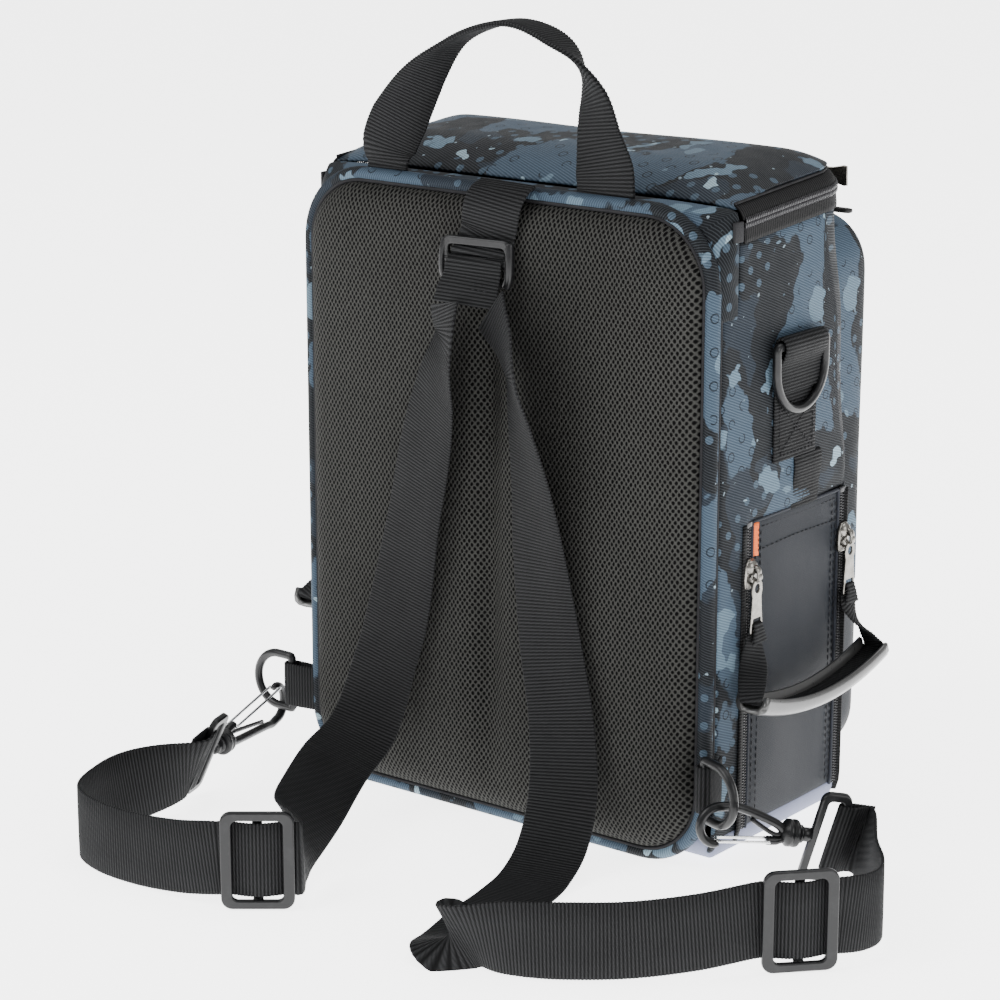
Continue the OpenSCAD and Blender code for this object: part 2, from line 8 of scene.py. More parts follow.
import bmesh
import bpy
import numpy as np
from mathutils import Matrix, Vector

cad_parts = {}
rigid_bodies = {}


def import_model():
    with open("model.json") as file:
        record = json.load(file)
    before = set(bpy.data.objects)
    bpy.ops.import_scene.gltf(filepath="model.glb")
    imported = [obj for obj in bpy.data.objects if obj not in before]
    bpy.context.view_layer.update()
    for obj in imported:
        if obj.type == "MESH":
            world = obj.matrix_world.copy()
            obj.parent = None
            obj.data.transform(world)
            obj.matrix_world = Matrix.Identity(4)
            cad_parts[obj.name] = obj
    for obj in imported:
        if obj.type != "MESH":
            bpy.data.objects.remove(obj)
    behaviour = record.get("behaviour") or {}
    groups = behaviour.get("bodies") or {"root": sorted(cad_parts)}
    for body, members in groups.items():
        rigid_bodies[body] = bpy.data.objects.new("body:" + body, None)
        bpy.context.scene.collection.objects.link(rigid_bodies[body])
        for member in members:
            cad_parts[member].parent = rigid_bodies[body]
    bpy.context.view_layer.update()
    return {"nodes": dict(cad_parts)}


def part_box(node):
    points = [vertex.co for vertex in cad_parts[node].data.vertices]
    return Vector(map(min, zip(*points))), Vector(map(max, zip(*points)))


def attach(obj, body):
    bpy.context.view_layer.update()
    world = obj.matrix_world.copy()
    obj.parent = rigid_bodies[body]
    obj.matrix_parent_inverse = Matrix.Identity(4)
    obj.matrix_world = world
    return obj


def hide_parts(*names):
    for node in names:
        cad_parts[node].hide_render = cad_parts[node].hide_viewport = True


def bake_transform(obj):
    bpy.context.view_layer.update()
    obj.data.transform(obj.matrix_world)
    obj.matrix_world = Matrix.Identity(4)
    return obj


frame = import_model()
MM = 0.001


# ---- driving sizes, in mm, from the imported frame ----
def node_box(node):
    low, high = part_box(node)
    return np.array(low) / MM, np.array(high) / MM


HALF_W = node_box("right_side_panel")[1][0]
BACK_Y = node_box("back_board")[0][1]
FRONT_Y = node_box("front_panel")[1][1]
BACK_H = node_box("back_piping")[1][2]
SPLIT_Z = 326.0       # height of the lid's zip at the hinge
LID_SLOPE = math.radians(4.4)
HINGE_Y = BACK_Y + 14
LID_V = FRONT_Y - HINGE_Y     # depth of the lid, hinge to front
FLAP_TOP = node_box("right_flap")[1][2]
FLAP_Y0 = node_box("right_flap")[0][1]
FLAP_Y1 = node_box("right_flap")[1][1]
TRACK_Y = (FLAP_Y0 - 3.0, FLAP_Y1 + 3.0)
OUT, UP, DOWN = (1, 0, 0), (0, 0, 1), (0, 0, -1)     # the right side looks OUT
SLIDER_Z = 150.0      # height of the sliders of the side zips
WEB_W = 38.0          # width of the strap webbing
WEB_T = 1.6
RIB = 1.75            # pitch of the webbing's ribs
RING_R = 2.3          # radius of the D-rings' wire


# ---- shader helpers ----
class Shader:
    """A material with short names for the nodes that the fabrics share."""

    def __init__(self, name, roughness=0.6, metallic=0.0, specular=0.5):
        self.m = bpy.data.materials.new(name)
        self.m.use_nodes = True
        self.t = self.m.node_tree
        self.b = self.t.nodes["Principled BSDF"]
        self.b.inputs["Roughness"].default_value = roughness
        self.b.inputs["Metallic"].default_value = metallic
        self.b.inputs["Specular IOR Level"].default_value = specular

    def put(self, socket, value):
        if isinstance(value, bpy.types.NodeSocket):
            self.t.links.new(value, socket)
        elif value is not None:
            socket.default_value = value

    def math(self, op, a, b=None, c=None):
        n = self.t.nodes.new("ShaderNodeMath")
        n.operation = op
        for s, v in zip(n.inputs, (a, b, c)):
            self.put(s, v)
        return n.outputs[0]

    def vec(self, op, a, b=None, out=0):
        n = self.t.nodes.new("ShaderNodeVectorMath")
        n.operation = op
        self.put(n.inputs[0], a)
        if b is not None:
            self.put(n.inputs["Scale"] if op == "SCALE" else n.inputs[1], b)
        return n.outputs[out]

    def coords(self, kind="UV"):
        return self.t.nodes.new("ShaderNodeTexCoord").outputs[kind]

    def split(self, v):
        n = self.t.nodes.new("ShaderNodeSeparateXYZ")
        self.put(n.inputs[0], v)
        return n.outputs

    def noise(self, v, scale, detail=2.0, rough=0.5, distort=0.0):
        n = self.t.nodes.new("ShaderNodeTexNoise")
        self.put(n.inputs["Vector"], v)
        n.inputs["Scale"].default_value = scale
        n.inputs["Detail"].default_value = detail
        n.inputs["Roughness"].default_value = rough
        n.inputs["Distortion"].default_value = distort
        return n.outputs["Fac"]

    def noise_colour(self, v, scale):
        return self.noise(v, scale).node.outputs["Color"]

    def mix(self, f, a, b):
        n = self.t.nodes.new("ShaderNodeMix")
        n.data_type = "RGBA"
        self.put(n.inputs[0], f)
        self.put(n.inputs[6], a)
        self.put(n.inputs[7], b)
        return n.outputs[2]

    def over(self, v, level, soft=0.004):
        """0 below level and 1 above it, with a narrow soft edge."""
        n = self.t.nodes.new("ShaderNodeMapRange")
        self.put(n.inputs["Value"], v)
        n.inputs["From Min"].default_value = level - soft
        n.inputs["From Max"].default_value = level + soft
        return n.outputs[0]

    def wave(self, x, pitch):
        """-1 to 1 along x, once a pitch."""
        return self.math("SINE", self.math("MULTIPLY", x, 2 * math.pi / pitch))

    def lattice(self, v, px, py):
        """Distance, in cells, to the nearest point of a staggered lattice."""
        p = self.vec("MULTIPLY", v, (1 / px, 1 / py, 0.0))
        d = []
        for shift in (0.0, 0.5):
            q = self.vec("FRACTION", self.vec("ADD", p, (shift, shift, 0.0)))
            d.append(self.vec("LENGTH", self.vec("SUBTRACT", q, (0.5, 0.5, 0.0)), out=1))
        return self.math("MINIMUM", d[0], d[1])

    def bump(self, height, distance, strength=1.0):
        n = self.t.nodes.new("ShaderNodeBump")
        n.inputs["Strength"].default_value = strength
        n.inputs["Distance"].default_value = distance
        self.put(n.inputs["Height"], height)
        self.put(self.b.inputs["Normal"], n.outputs[0])

    def colour(self, c):
        self.put(self.b.inputs["Base Color"], c)

    def rough(self, low, high, f):
        r = self.math("MULTIPLY_ADD", f, high - low, low)
        self.put(self.b.inputs["Roughness"], r)


def rgb(r, g, b):
    return (r, g, b, 1.0)


def camo(name, gloss=0.62):
    s = Shader(name, roughness=gloss, specular=0.09)
    uv = s.coords()
    warp = s.vec("SCALE", s.vec("SUBTRACT", s.noise_colour(uv, 75), (0.5, 0.5, 0.5)), 0.016)
    p = s.vec("ADD", uv, warp)
    stretched = s.vec("MULTIPLY", p, (1.0, 0.62, 1.0))
    slate = s.over(s.noise(stretched, 21, 1.2, 0.45), 0.525)
    moved = s.vec("ADD", stretched, (3.7, 1.9, 0.0))
    deep = s.over(s.noise(moved, 26, 1.5), 0.56)
    moved = s.vec("ADD", p, (7.1, 4.3, 0.0))
    light = s.over(s.noise(moved, 34, 1.6), 0.635)
    moved = s.vec("ADD", p, (2.1, 8.3, 0.0))
    pale = s.over(s.noise(moved, 46, 2.0), 0.70)
    patches = s.noise(s.vec("ADD", uv, (5.5, 0.7, 0.0)), 13, 1.0)
    dots = s.math("LESS_THAN", s.lattice(uv, 0.0145, 0.0145), 0.145)
    dots = s.math("MULTIPLY", dots, s.over(patches, 0.49))
    ring = s.math("ABSOLUTE", s.math("SUBTRACT", s.lattice(uv, 0.0165, 0.0165), 0.135))
    ring = s.math("LESS_THAN", ring, 0.022)
    ring = s.math("MULTIPLY", ring, s.over(s.noise(uv, 40, 1.0), 0.47))
    specks = s.over(s.noise(uv, 230, 1.0), 0.745, 0.01)
    black = s.mix(s.noise(uv, 60, 3.0), rgb(0.0035, 0.004, 0.005), rgb(0.008, 0.0095, 0.012))
    c = s.mix(deep, black, rgb(0.013, 0.019, 0.028))
    c = s.mix(dots, c, rgb(0.045, 0.070, 0.098))
    c = s.mix(specks, c, rgb(0.20, 0.26, 0.30))
    blue = s.mix(ring, rgb(0.046, 0.072, 0.104), rgb(0.008, 0.013, 0.020))
    c = s.mix(slate, c, blue)
    c = s.mix(light, c, rgb(0.105, 0.160, 0.210))
    c = s.mix(pale, c, rgb(0.26, 0.36, 0.42))
    x, y, _ = s.split(uv)
    twill = s.wave(s.math("MULTIPLY_ADD", x, 0.4, y), 0.0014)
    cross = s.wave(s.math("SUBTRACT", x, y), 0.0011)
    weave = s.math("MULTIPLY_ADD", s.math("MULTIPLY_ADD", cross, 0.35, twill), 0.37, 0.5)
    ribs = s.math("GREATER_THAN", twill, 0.55)
    # painted shade: the print is darkened towards black in the low threads of the twill
    c = s.mix(s.math("MULTIPLY", s.math("SUBTRACT", 1.0, weave), 0.55), c, rgb(0.002, 0.0025, 0.003))
    # painted highlight: the crests of the twill lines are lightened
    c = s.mix(s.math("MULTIPLY", ribs, 0.10), c, rgb(0.16, 0.18, 0.20))
    s.colour(c)
    s.rough(gloss - 0.12, gloss + 0.12, s.noise(uv, 90))
    s.bump(weave, 0.00022, 0.8)
    return s.m


def tarpaulin(name="tarpaulin_fabric", base=(0.0075, 0.0092, 0.0128)):
    s = Shader(name, roughness=0.48, specular=0.10)
    uv = s.coords()
    x, y, _ = s.split(uv)
    weave = s.math("MULTIPLY", s.wave(x, 0.0009), s.wave(y, 0.0009))
    grain = s.noise(uv, 1400, 3.0)
    folds = s.noise(s.vec("MULTIPLY", uv, (1.0, 0.3, 1.0)), 28, 2.0)
    dark = rgb(*[k * 0.82 for k in base])
    pale = rgb(*[k * 1.25 for k in base])
    s.colour(s.mix(s.noise(uv, 16, 3.0), dark, pale))
    s.rough(0.42, 0.56, folds)
    h = s.math("MULTIPLY_ADD", grain, 0.35, s.math("MULTIPLY", weave, 0.25))
    s.bump(s.math("MULTIPLY_ADD", folds, 1.6, h), 0.0004, 0.55)
    return s.m


def air_mesh():
    s = Shader("air_mesh_knit", roughness=0.75, specular=0.05)
    uv = s.coords()
    wobble = s.vec("SCALE", s.vec("SUBTRACT", s.noise_colour(uv, 300), (0.5, 0.5, 0.5)), 0.0011)
    p = s.vec("ADD", uv, wobble)
    d = s.lattice(p, 0.0027, 0.0040)
    hole = s.over(d, 0.25, 0.07)
    x, y, _ = s.split(uv)
    twist = s.wave(s.math("MULTIPLY_ADD", y, 1.7, x), 0.0009)
    tone = s.noise(uv, 25, 2.0)
    thread = s.mix(tone, rgb(0.018, 0.018, 0.0165), rgb(0.032, 0.032, 0.030))
    thread = s.mix(s.math("MULTIPLY_ADD", twist, 0.22, 0.25), thread, rgb(0.080, 0.080, 0.075))
    # painted shade: the holes of the knit are painted almost black, as the shade inside them
    s.colour(s.mix(hole, rgb(0.0010, 0.0010, 0.0010), thread))
    s.bump(s.math("MULTIPLY_ADD", hole, 1.0, s.math("MULTIPLY", twist, 0.12)), 0.0007, 0.9)
    return s.m


def webbing(name="webbing_nylon", base=0.0105):
    s = Shader(name, roughness=0.6, specular=0.07)
    uv = s.coords()
    x, y, _ = s.split(uv)
    # painted light: lighter along the crests of the ribs and darker between them, in step with the ribs of the
    # mesh
    rib_crest_light = s.math("MULTIPLY_ADD", s.wave(x, RIB * MM), 0.5, 0.5)
    thread = s.wave(s.math("MULTIPLY_ADD", x, 0.6, y), 0.00085)
    other = s.wave(s.math("MULTIPLY_ADD", x, -0.6, y), 0.0011)
    knit = s.math("MULTIPLY_ADD", s.math("MULTIPLY", thread, other), 0.5, 0.5)
    # low is the painted shade between the ribs, high the painted highlight on their crests
    low = rgb(base * 0.12, base * 0.12, base * 0.13)
    high = rgb(base * 2.5, base * 2.55, base * 2.65)
    f = s.math("MULTIPLY", rib_crest_light, s.math("MULTIPLY_ADD", knit, 0.95, 0.25))
    c = s.mix(f, low, high)
    dusty = s.math("MULTIPLY", s.noise(uv, 60, 4.0), 0.06)
    s.colour(s.mix(dusty, c, rgb(0.06, 0.063, 0.068)))
    s.rough(0.48, 0.72, knit)
    s.bump(knit, 0.00022, 0.7)
    return s.m


def zip_tape():
    s = Shader("zip_tape_weave", roughness=0.6, specular=0.08)
    x, y, _ = s.split(s.coords())
    # painted light: the tape's ribs are painted light on their crests and dark in their valleys, from the same
    # relief as the bump
    ribs = s.math("MULTIPLY_ADD", s.wave(x, 0.0016), 0.5, 0.5)
    fine = s.math("MULTIPLY_ADD", s.wave(s.math("ADD", x, y), 0.0008), 0.35, 0.65)
    f = s.math("MULTIPLY", ribs, fine)
    s.colour(s.mix(f, rgb(0.0012, 0.0012, 0.0013), rgb(0.024, 0.024, 0.025)))
    s.bump(f, 0.0003, 0.9)
    return s.m


def moulded(name, base, roughness=0.36, grain=900):
    s = Shader(name, roughness=roughness, specular=0.28)
    p = s.coords("Object")
    scuff = s.noise(p, 160, 4.0, 0.65)
    s.colour(s.mix(s.math("MULTIPLY", s.over(scuff, 0.6, 0.1), 0.4), rgb(*base),
                   rgb(*[min(1, k * 2.1 + 0.01) for k in base])))
    s.rough(roughness - 0.08, roughness + 0.12, scuff)
    s.bump(s.noise(p, grain, 2.0), 0.00012, 0.35)
    return s.m


def metal(name, base, roughness=0.25):
    s = Shader(name, roughness=roughness, metallic=1.0)
    p = s.coords("Object")
    wear = s.noise(p, 240, 4.0, 0.6)
    dull = rgb(*[k * 0.62 for k in base])
    s.colour(s.mix(s.over(wear, 0.54, 0.16), rgb(*base), dull))
    s.rough(roughness - 0.06, roughness + 0.18, s.noise(p, 500, 3.0))
    s.bump(s.noise(s.vec("MULTIPLY", p, (1.0, 1.0, 0.2)), 1500, 2.0), 0.00005, 0.3)
    return s.m


def smoky_plastic():
    s = Shader("grip_smoky_plastic", roughness=0.28, specular=0.6)
    p = s.coords("Object")
    s.b.inputs["Coat Weight"].default_value = 0.25
    cloud = s.noise(p, 45, 3.0)
    s.colour(s.mix(cloud, rgb(0.016, 0.016, 0.016), rgb(0.045, 0.045, 0.044)))
    s.rough(0.2, 0.42, s.noise(p, 300, 3.0))
    s.bump(cloud, 0.0003, 0.3)
    return s.m


def woven(name, a, b, pitch=0.0009, roughness=0.7):
    s = Shader(name, roughness=roughness, specular=0.1)
    p = s.coords("Object")
    x, y, z = s.split(p)
    f = s.math("MULTIPLY", s.wave(s.math("ADD", x, y), pitch), s.wave(s.math("SUBTRACT", z, y), pitch))
    f = s.math("MULTIPLY_ADD", f, 0.35, s.noise(p, 50, 3.0))
    s.colour(s.mix(f, rgb(*a), rgb(*b)))
    s.bump(f, 0.00015, 0.6)
    return s.m


CAMO = camo("camo_polyester")
CAMO_SATIN = camo("camo_polyester_satin", 0.40)
TARP = tarpaulin()
TARP_EDGE = tarpaulin("tarpaulin_edge", (0.016, 0.018, 0.024))
MESH = air_mesh()
WEB = webbing()
TAPE = zip_tape()
COIL = moulded("zip_coil_nylon", (0.022, 0.022, 0.024), 0.22)
PLASTIC = moulded("black_acetal", (0.006, 0.0062, 0.0068), 0.30)
RUBBER = moulded("soft_black_rubber", (0.004, 0.004, 0.004), 0.5, 500)
NICKEL = metal("nickel_plate", (0.24, 0.23, 0.21), 0.22)
WIRE = metal("bright_wire", (0.78, 0.79, 0.80), 0.16)
SMOKY = smoky_plastic()
LINING = woven("lining_fabric", (0.010, 0.010, 0.011), (0.030, 0.030, 0.033))
BASE_CLOTH = woven("base_cloth", (0.13, 0.145, 0.21), (0.21, 0.225, 0.31), 0.0012, 0.55)
ORANGE = woven("orange_tag_cloth", (0.62, 0.10, 0.02), (0.80, 0.20, 0.06))
THREAD = woven("black_thread", (0.006, 0.006, 0.007), (0.025, 0.025, 0.027), 0.0005)


# ---- mesh helpers ----
def unit(v):
    return v / max(np.linalg.norm(v), 1e-9)


def link(name, data):
    """A new object with that data, in the scene."""
    ob = bpy.data.objects.new(name, data)
    bpy.context.scene.collection.objects.link(ob)
    return ob


def make(name, points, faces, material, uv=None):
    """A smooth mesh object from points in mm. uv gives one (u, v) in metres for each point."""
    me = bpy.data.meshes.new(name)
    me.from_pydata([tuple(float(k) * MM for k in p) for p in points], [], faces)
    if uv is not None:
        layer = me.uv_layers.new(name="UVMap")
        ids = np.zeros(len(me.loops), np.int32)
        me.loops.foreach_get("vertex_index", ids)
        layer.data.foreach_set("uv", np.asarray(uv, np.float32)[ids].ravel())
    me.validate()
    me.polygons.foreach_set("use_smooth", [True] * len(me.polygons))
    me.materials.append(material)
    return link(name, me)


def bake(ob):
    """Applies the modifiers of ob to its mesh."""
    bpy.context.view_layer.update()
    dg = bpy.context.evaluated_depsgraph_get()
    me = bpy.data.meshes.new_from_object(ob.evaluated_get(dg))
    ob.modifiers.clear()
    ob.data = me
    return ob


def soften(ob):
    """One level of subdivision."""
    m = ob.modifiers.new("smooth", "SUBSURF")
    m.levels = m.render_levels = 1
    return bake(ob)


def thicken(ob, wall, lined=False):
    """Gives a patch its wall, inwards. A lined one gets the lining inside and is softened."""
    m = ob.modifiers.new("wall", "SOLIDIFY")
    m.thickness = wall * MM
    m.offset = -1.0
    m.use_even_offset = False
    if lined:
        ob.data.materials.append(LINING)
        m.material_offset = 1
        m.material_offset_rim = 0
    return soften(ob) if lined else bake(ob)


def lengths(pts):
    """Length along pts at each of them."""
    step = np.linalg.norm(np.diff(pts, axis=0), axis=1)
    return np.concatenate([[0], np.cumsum(step)])


def along(values, at, s):
    """Rows of values, one for each length in at, read off at the length or lengths s."""
    return np.stack([np.interp(s, at, column) for column in values.T], -1)


def quads(n, m, close):
    """Faces between n rows of m points; close joins each row's end to its start."""
    return [(i * m + j, i * m + (j + 1) % m, (i + 1) * m + (j + 1) % m, (i + 1) * m + j)
            for i in range(n - 1) for j in range(m if close else m - 1)]


def grid(name, rows, material, uv="length", close=False, stays=None):
    """A patch from rows of points. uv is length, xz or xy; stays(i, j) says which quads are made."""
    rows = np.asarray(rows, float)
    n, m = rows.shape[:2]
    flat = rows.reshape(-1, 3)
    faces = [q for q in quads(n, m, close) if stays is None or stays(*divmod(q[0], m))]
    if uv == "length":
        u = np.concatenate([[0], np.cumsum(np.linalg.norm(np.diff(rows, axis=1), axis=2).mean(0))])
        v = np.concatenate([[0], np.cumsum(np.linalg.norm(np.diff(rows, axis=0), axis=2).mean(1))])
        coords = np.stack(np.broadcast_arrays(u[None, :], v[:, None]), -1).reshape(-1, 2)
    else:
        coords = flat[:, ["xyz".index(k) for k in uv]]
    return make(name, flat, faces, material, uv=coords * MM)


def edit(ob, change):
    """Runs change on the mesh of ob as a BMesh."""
    bm = bmesh.new()
    bm.from_mesh(ob.data)
    change(bm)
    bm.to_mesh(ob.data)
    bm.free()
    return ob


def cap(ob, start, count):
    """Closes the ring of count points from start on with one face."""
    def close(bm):
        bm.verts.ensure_lookup_table()
        bm.faces.new([bm.verts[start + k] for k in range(count)]).smooth = True
    return edit(ob, close)


def cap_ends(ob, rows, count):
    """Closes the first and the last of rows rings of count points."""
    return outward(cap(cap(ob, 0, count), (rows - 1) * count, count))


def outward(ob):
    """Makes the normals agree, outwards where the mesh is closed."""
    return edit(ob, lambda bm: bmesh.ops.recalc_face_normals(bm, faces=bm.faces))


def weld(ob, distance=0.00001):
    """Merges points that are closer than distance, in metres."""
    return edit(ob, lambda bm: bmesh.ops.remove_doubles(bm, verts=bm.verts, dist=distance))


def join(name, parts):
    """One object from several, keeping each one's materials and UVs."""
    for o in bpy.context.view_layer.objects:
        o.select_set(o in parts)
    bpy.context.view_layer.objects.active = parts[0]
    bpy.ops.object.join()
    parts[0].name = name
    parts[0].data.name = name
    return parts[0]


SPAN = 16             # steps of a spline in each of its spans


def spline(points, k=SPAN):
    """Catmull-Rom through points, k steps a span."""
    p = np.asarray(points, float)
    q = np.vstack([p[:1], p, p[-1:]])
    t = (np.arange(k) / k)[:, None]
    out = []
    for i in range(len(p) - 1):
        a, b, c, d = q[i:i + 4]
        out.append(0.5 * (2 * b + (c - a) * t + (2 * a - 5 * b + 4 * c - d) * t**2
                          + (3 * b - a - 3 * c + d) * t**3))
    return np.vstack(out + [p[-1:]])


def circle(centre, u, v, radius, sides):
    """Points round centre, in the plane of u and v."""
    a = np.linspace(0, 2 * np.pi, sides, endpoint=False)
    return centre + radius * (np.outer(np.cos(a), u) + np.outer(np.sin(a), v))


def tube(name, path, radius, material, sides=12, closed=False, flat=(1.0, 1.0), side=None):
    """A rod of that radius, or list of radii, along path. flat scales it along side and across."""
    path = np.asarray(path, float)
    n = len(path)
    rad = np.broadcast_to(np.asarray(radius, float), (n,))
    if closed:
        tang = np.roll(path, -1, 0) - np.roll(path, 1, 0)
    else:
        tang = np.gradient(path, axis=0)
    ref = np.array(side if side is not None else (0.0, 0.0, 1.0), float)
    spare = np.array([1.0, 0.2, 0.1])
    rows = []
    for i in range(n):
        t = unit(tang[i])
        a = ref - t * (ref @ t)
        if np.linalg.norm(a) < 0.05:
            a = spare - t * (spare @ t)
        a = unit(a)
        if side is None:
            ref = a
        rows.append(circle(path[i], a * flat[0], np.cross(t, a) * flat[1], rad[i], sides))
    if closed:
        rows.append(rows[0])
    ob = grid(name, rows, material, close=True)
    return outward(weld(ob)) if closed else cap_ends(ob, n, sides)


def rounded(w, h, r, inset=0.0, corner=8, side=10):
    """Outline of a rounded rectangle about the origin; r is one radius or four, from +X +Y round."""
    radii = r if hasattr(r, "__len__") else [r] * 4
    arcs = []
    for k, (sx, sy) in enumerate([(1, 1), (-1, 1), (-1, -1), (1, -1)]):
        own, back = max(radii[k] - inset, 0.05), max(radii[k], inset)
        cx, cy = sx * (w / 2 - back), sy * (h / 2 - back)
        a = k * np.pi / 2 + np.linspace(0, np.pi / 2, corner)
        arcs.append(np.stack([cx + own * np.cos(a), cy + own * np.sin(a)], 1))
    out = []
    for arc, after in zip(arcs, arcs[1:] + arcs[:1]):
        out += [arc, np.linspace(arc[-1], after[0], side + 2)[1:-1]]
    return np.vstack(out)


def plate(name, outline, holes, thick, bevel, material):
    """A flat moulding in X and Y, with bevelled edges, centred on Z = 0."""
    cu = bpy.data.curves.new(name, "CURVE")
    cu.dimensions = "2D"
    cu.fill_mode = "BOTH"
    cu.extrude = (thick / 2 - bevel) * MM
    cu.bevel_depth = bevel * MM
    cu.bevel_resolution = 2
    cu.offset = -bevel * MM
    for loop in [outline, *holes]:
        sp = cu.splines.new("POLY")
        sp.points.add(len(loop) - 1)
        for p, q in zip(sp.points, loop):
            p.co = (q[0] * MM, q[1] * MM, 0, 1)
        sp.use_cyclic_u = True
    tmp = link(name, cu)
    bpy.context.view_layer.update()
    me = bpy.data.meshes.new_from_object(tmp.evaluated_get(bpy.context.evaluated_depsgraph_get()))
    bpy.data.objects.remove(tmp)
    me.materials.clear()
    me.materials.append(material)
    me.polygons.foreach_set("use_smooth", [abs(p.normal.z) < 0.999 for p in me.polygons])
    return weld(link(name, me))


def lathe(name, profile, material, sides=32):
    """Turns (x, radius) pairs about the X axis."""
    rows = [circle((x, 0, 0), (0, 1, 0), (0, 0, 1), r, sides) for x, r in profile]
    return cap_ends(grid(name, rows, material, close=True), len(profile), sides)


def block(name, low, high, bevel, material):
    """A box with bevelled edges."""
    c = [(x, y, z) for x in (low[0], high[0]) for y in (low[1], high[1]) for z in (low[2], high[2])]
    f = [(0, 1, 3, 2), (4, 6, 7, 5), (0, 4, 5, 1), (2, 3, 7, 6), (0, 2, 6, 4), (1, 5, 7, 3)]
    ob = make(name, c, f, material)
    v = ob.modifiers.new("edge", "BEVEL")
    v.width = bevel * MM
    v.segments = 2
    return bake(outward(ob))


def place(ob, matrix):
    """Moves the mesh itself; matrix works in mm."""
    m = matrix.copy()
    m.translation *= MM
    ob.data.transform(m)
    if m.determinant() < 0:
        ob.data.flip_normals()
    return ob


def mirrored(ob, name):
    """A copy of ob on the other side of the bag."""
    return place(link(name, ob.data.copy()), Matrix.Scale(-1, 4, (1, 0, 0)))


def add_rod(points, faces, rings):
    """Adds a short closed rod through rings of points to points and faces."""
    base, m = len(points), len(rings[0])
    last = base + (len(rings) - 1) * m
    points += [p for ring in rings for p in ring]
    faces += [tuple(base + k for k in q) for q in quads(len(rings), m, True)]
    faces += [tuple(range(base, base + m)), tuple(range(last + m - 1, last - 1, -1))]


def stitches(name, path, normal, length=2.6, gap=1.3, radius=0.32):
    """Thread stitches along a path that lies on a surface with that normal."""
    path, normal = np.asarray(path, float), unit(np.array(normal, float))
    at = lengths(path)
    lift = 0.15 * normal
    points, faces = [], []
    s = gap
    while s + length < at[-1]:
        a, middle, b = (along(path, at, q) for q in (s, s + length * 0.5, s + length))
        across = np.cross(unit(b - a), normal)
        add_rod(points, faces, [circle(p + lift, normal, across, radius * k, 5)
                                for p, k in ((a, 0.4), (middle, 1.0), (b, 0.4))])
        s += length + gap
    return outward(make(name, points, faces, THREAD))


def ribbon(name, stations, thick=WEB_T, doubled=False):
    """Webbing with its woven ribs as relief, through stations of (point, direction across, width).

    A station without a width has WEB_W. doubled gives the edges of two layers.
    """
    pts = spline([s[0] for s in stations])
    across = spline([unit(np.array(s[1], float)) for s in stations])
    widths = [s[2] if len(s) > 2 else WEB_W for s in stations]
    width = np.interp(np.arange(len(pts)), np.arange(len(stations)) * SPAN, widths)
    at = lengths(pts)
    s = np.linspace(0, at[-1], max(8, int(at[-1] / RIB * 4)))
    p, w, width = along(pts, at, s), along(across, at, s), np.interp(s, at, width)
    tang = np.gradient(p, axis=0)
    rows, uv = [], []
    for i in range(len(s)):
        t = unit(tang[i])
        a = unit(w[i] - t * (w[i] @ t))
        n = np.cross(t, a)
        rib = math.sin(2 * math.pi * s[i] / RIB)
        half = width[i] / 2 + 0.10 * rib
        h = thick / 2 + 0.2 * rib
        edge = [(-half, 0.25 * h), (-half + 0.5, 0.9 * h), (-half * 0.4, h), (half * 0.4, h),
                (half - 0.5, 0.9 * h), (half, 0.25 * h)]
        under = [(x, -y) for x, y in reversed(edge)]
        if doubled:
            edge.append((half - 0.7, 0.0))
            under.append((-half + 0.7, 0.0))
        edge += under
        rows.append([p[i] + a * x + n * y for x, y in edge])
        uv.append([(s[i] * MM, x * MM) for x, _ in edge])
    n, m = len(rows), len(rows[0])
    ob = make(name, np.reshape(rows, (-1, 3)), quads(n, m, True), WEB, np.reshape(uv, (-1, 2)))
    return cap_ends(ob, n, m)


def same(across, width, *points):
    """Stations at points, with one direction across and one width."""
    return [(p, across, width) for p in points]


COIL_PITCH = 1.5
COIL_LOOP = [(-0.55, 0.35, 0.32), (0.1, 0.75, 0.5), (1.5, 0.8, 0.42), (2.5, 0.3, 0.36)]  # reach, rise, radius


def coil(name, path, up, out, side):
    """One half of a coil zip: nylon loops along path that reach across the split line.

    up points away from the other half, out from the tape; side is 0 or 1, so that the halves mesh.
    """
    at = lengths(path)
    ups, outs = (np.broadcast_to(np.asarray(a, float), path.shape) for a in (up, out))
    points, faces = [], []
    for i in range(int(at[-1] / COIL_PITCH)):
        q = (i + 0.25 + 0.5 * side) * COIL_PITCH
        p, u, o = (along(a, at, q) for a in (path, ups, outs))
        u, o = unit(u), unit(o)
        t = np.cross(u, o)
        add_rod(points, faces, [circle(p + u * a + o * b, t, o, r, 6) for a, b, r in COIL_LOOP])
    return outward(make(name, points, faces, COIL))


def keep(ob, body, slot, *nodes):
    """Lets ob ride on body in place of nodes, which are hidden; slot is not used."""
    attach(ob, body)
    return name_it(ob, slot, *nodes)


def bend(ob, a, b, start, end, slot, *nodes):
    """Bakes the transform of ob into its mesh in place of nodes, which are hidden; a, b, start and end are not
    used.
    """
    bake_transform(ob)
    return name_it(ob, slot, *nodes)


def name_it(ob, slot, *nodes):
    if nodes:
        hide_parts(*nodes)
    return ob


# ---- the lid's own frame ----
def lid_point(x, v, w):
    c, s = math.cos(LID_SLOPE), math.sin(LID_SLOPE)
    return np.array([x, HINGE_Y + v * c - w * s, SPLIT_Z + v * s + w * c])


LID_R = 30.0          # radius of the lid's front corners
LID_UP = lid_point(0, 0, 1) - lid_point(0, 0, 0)


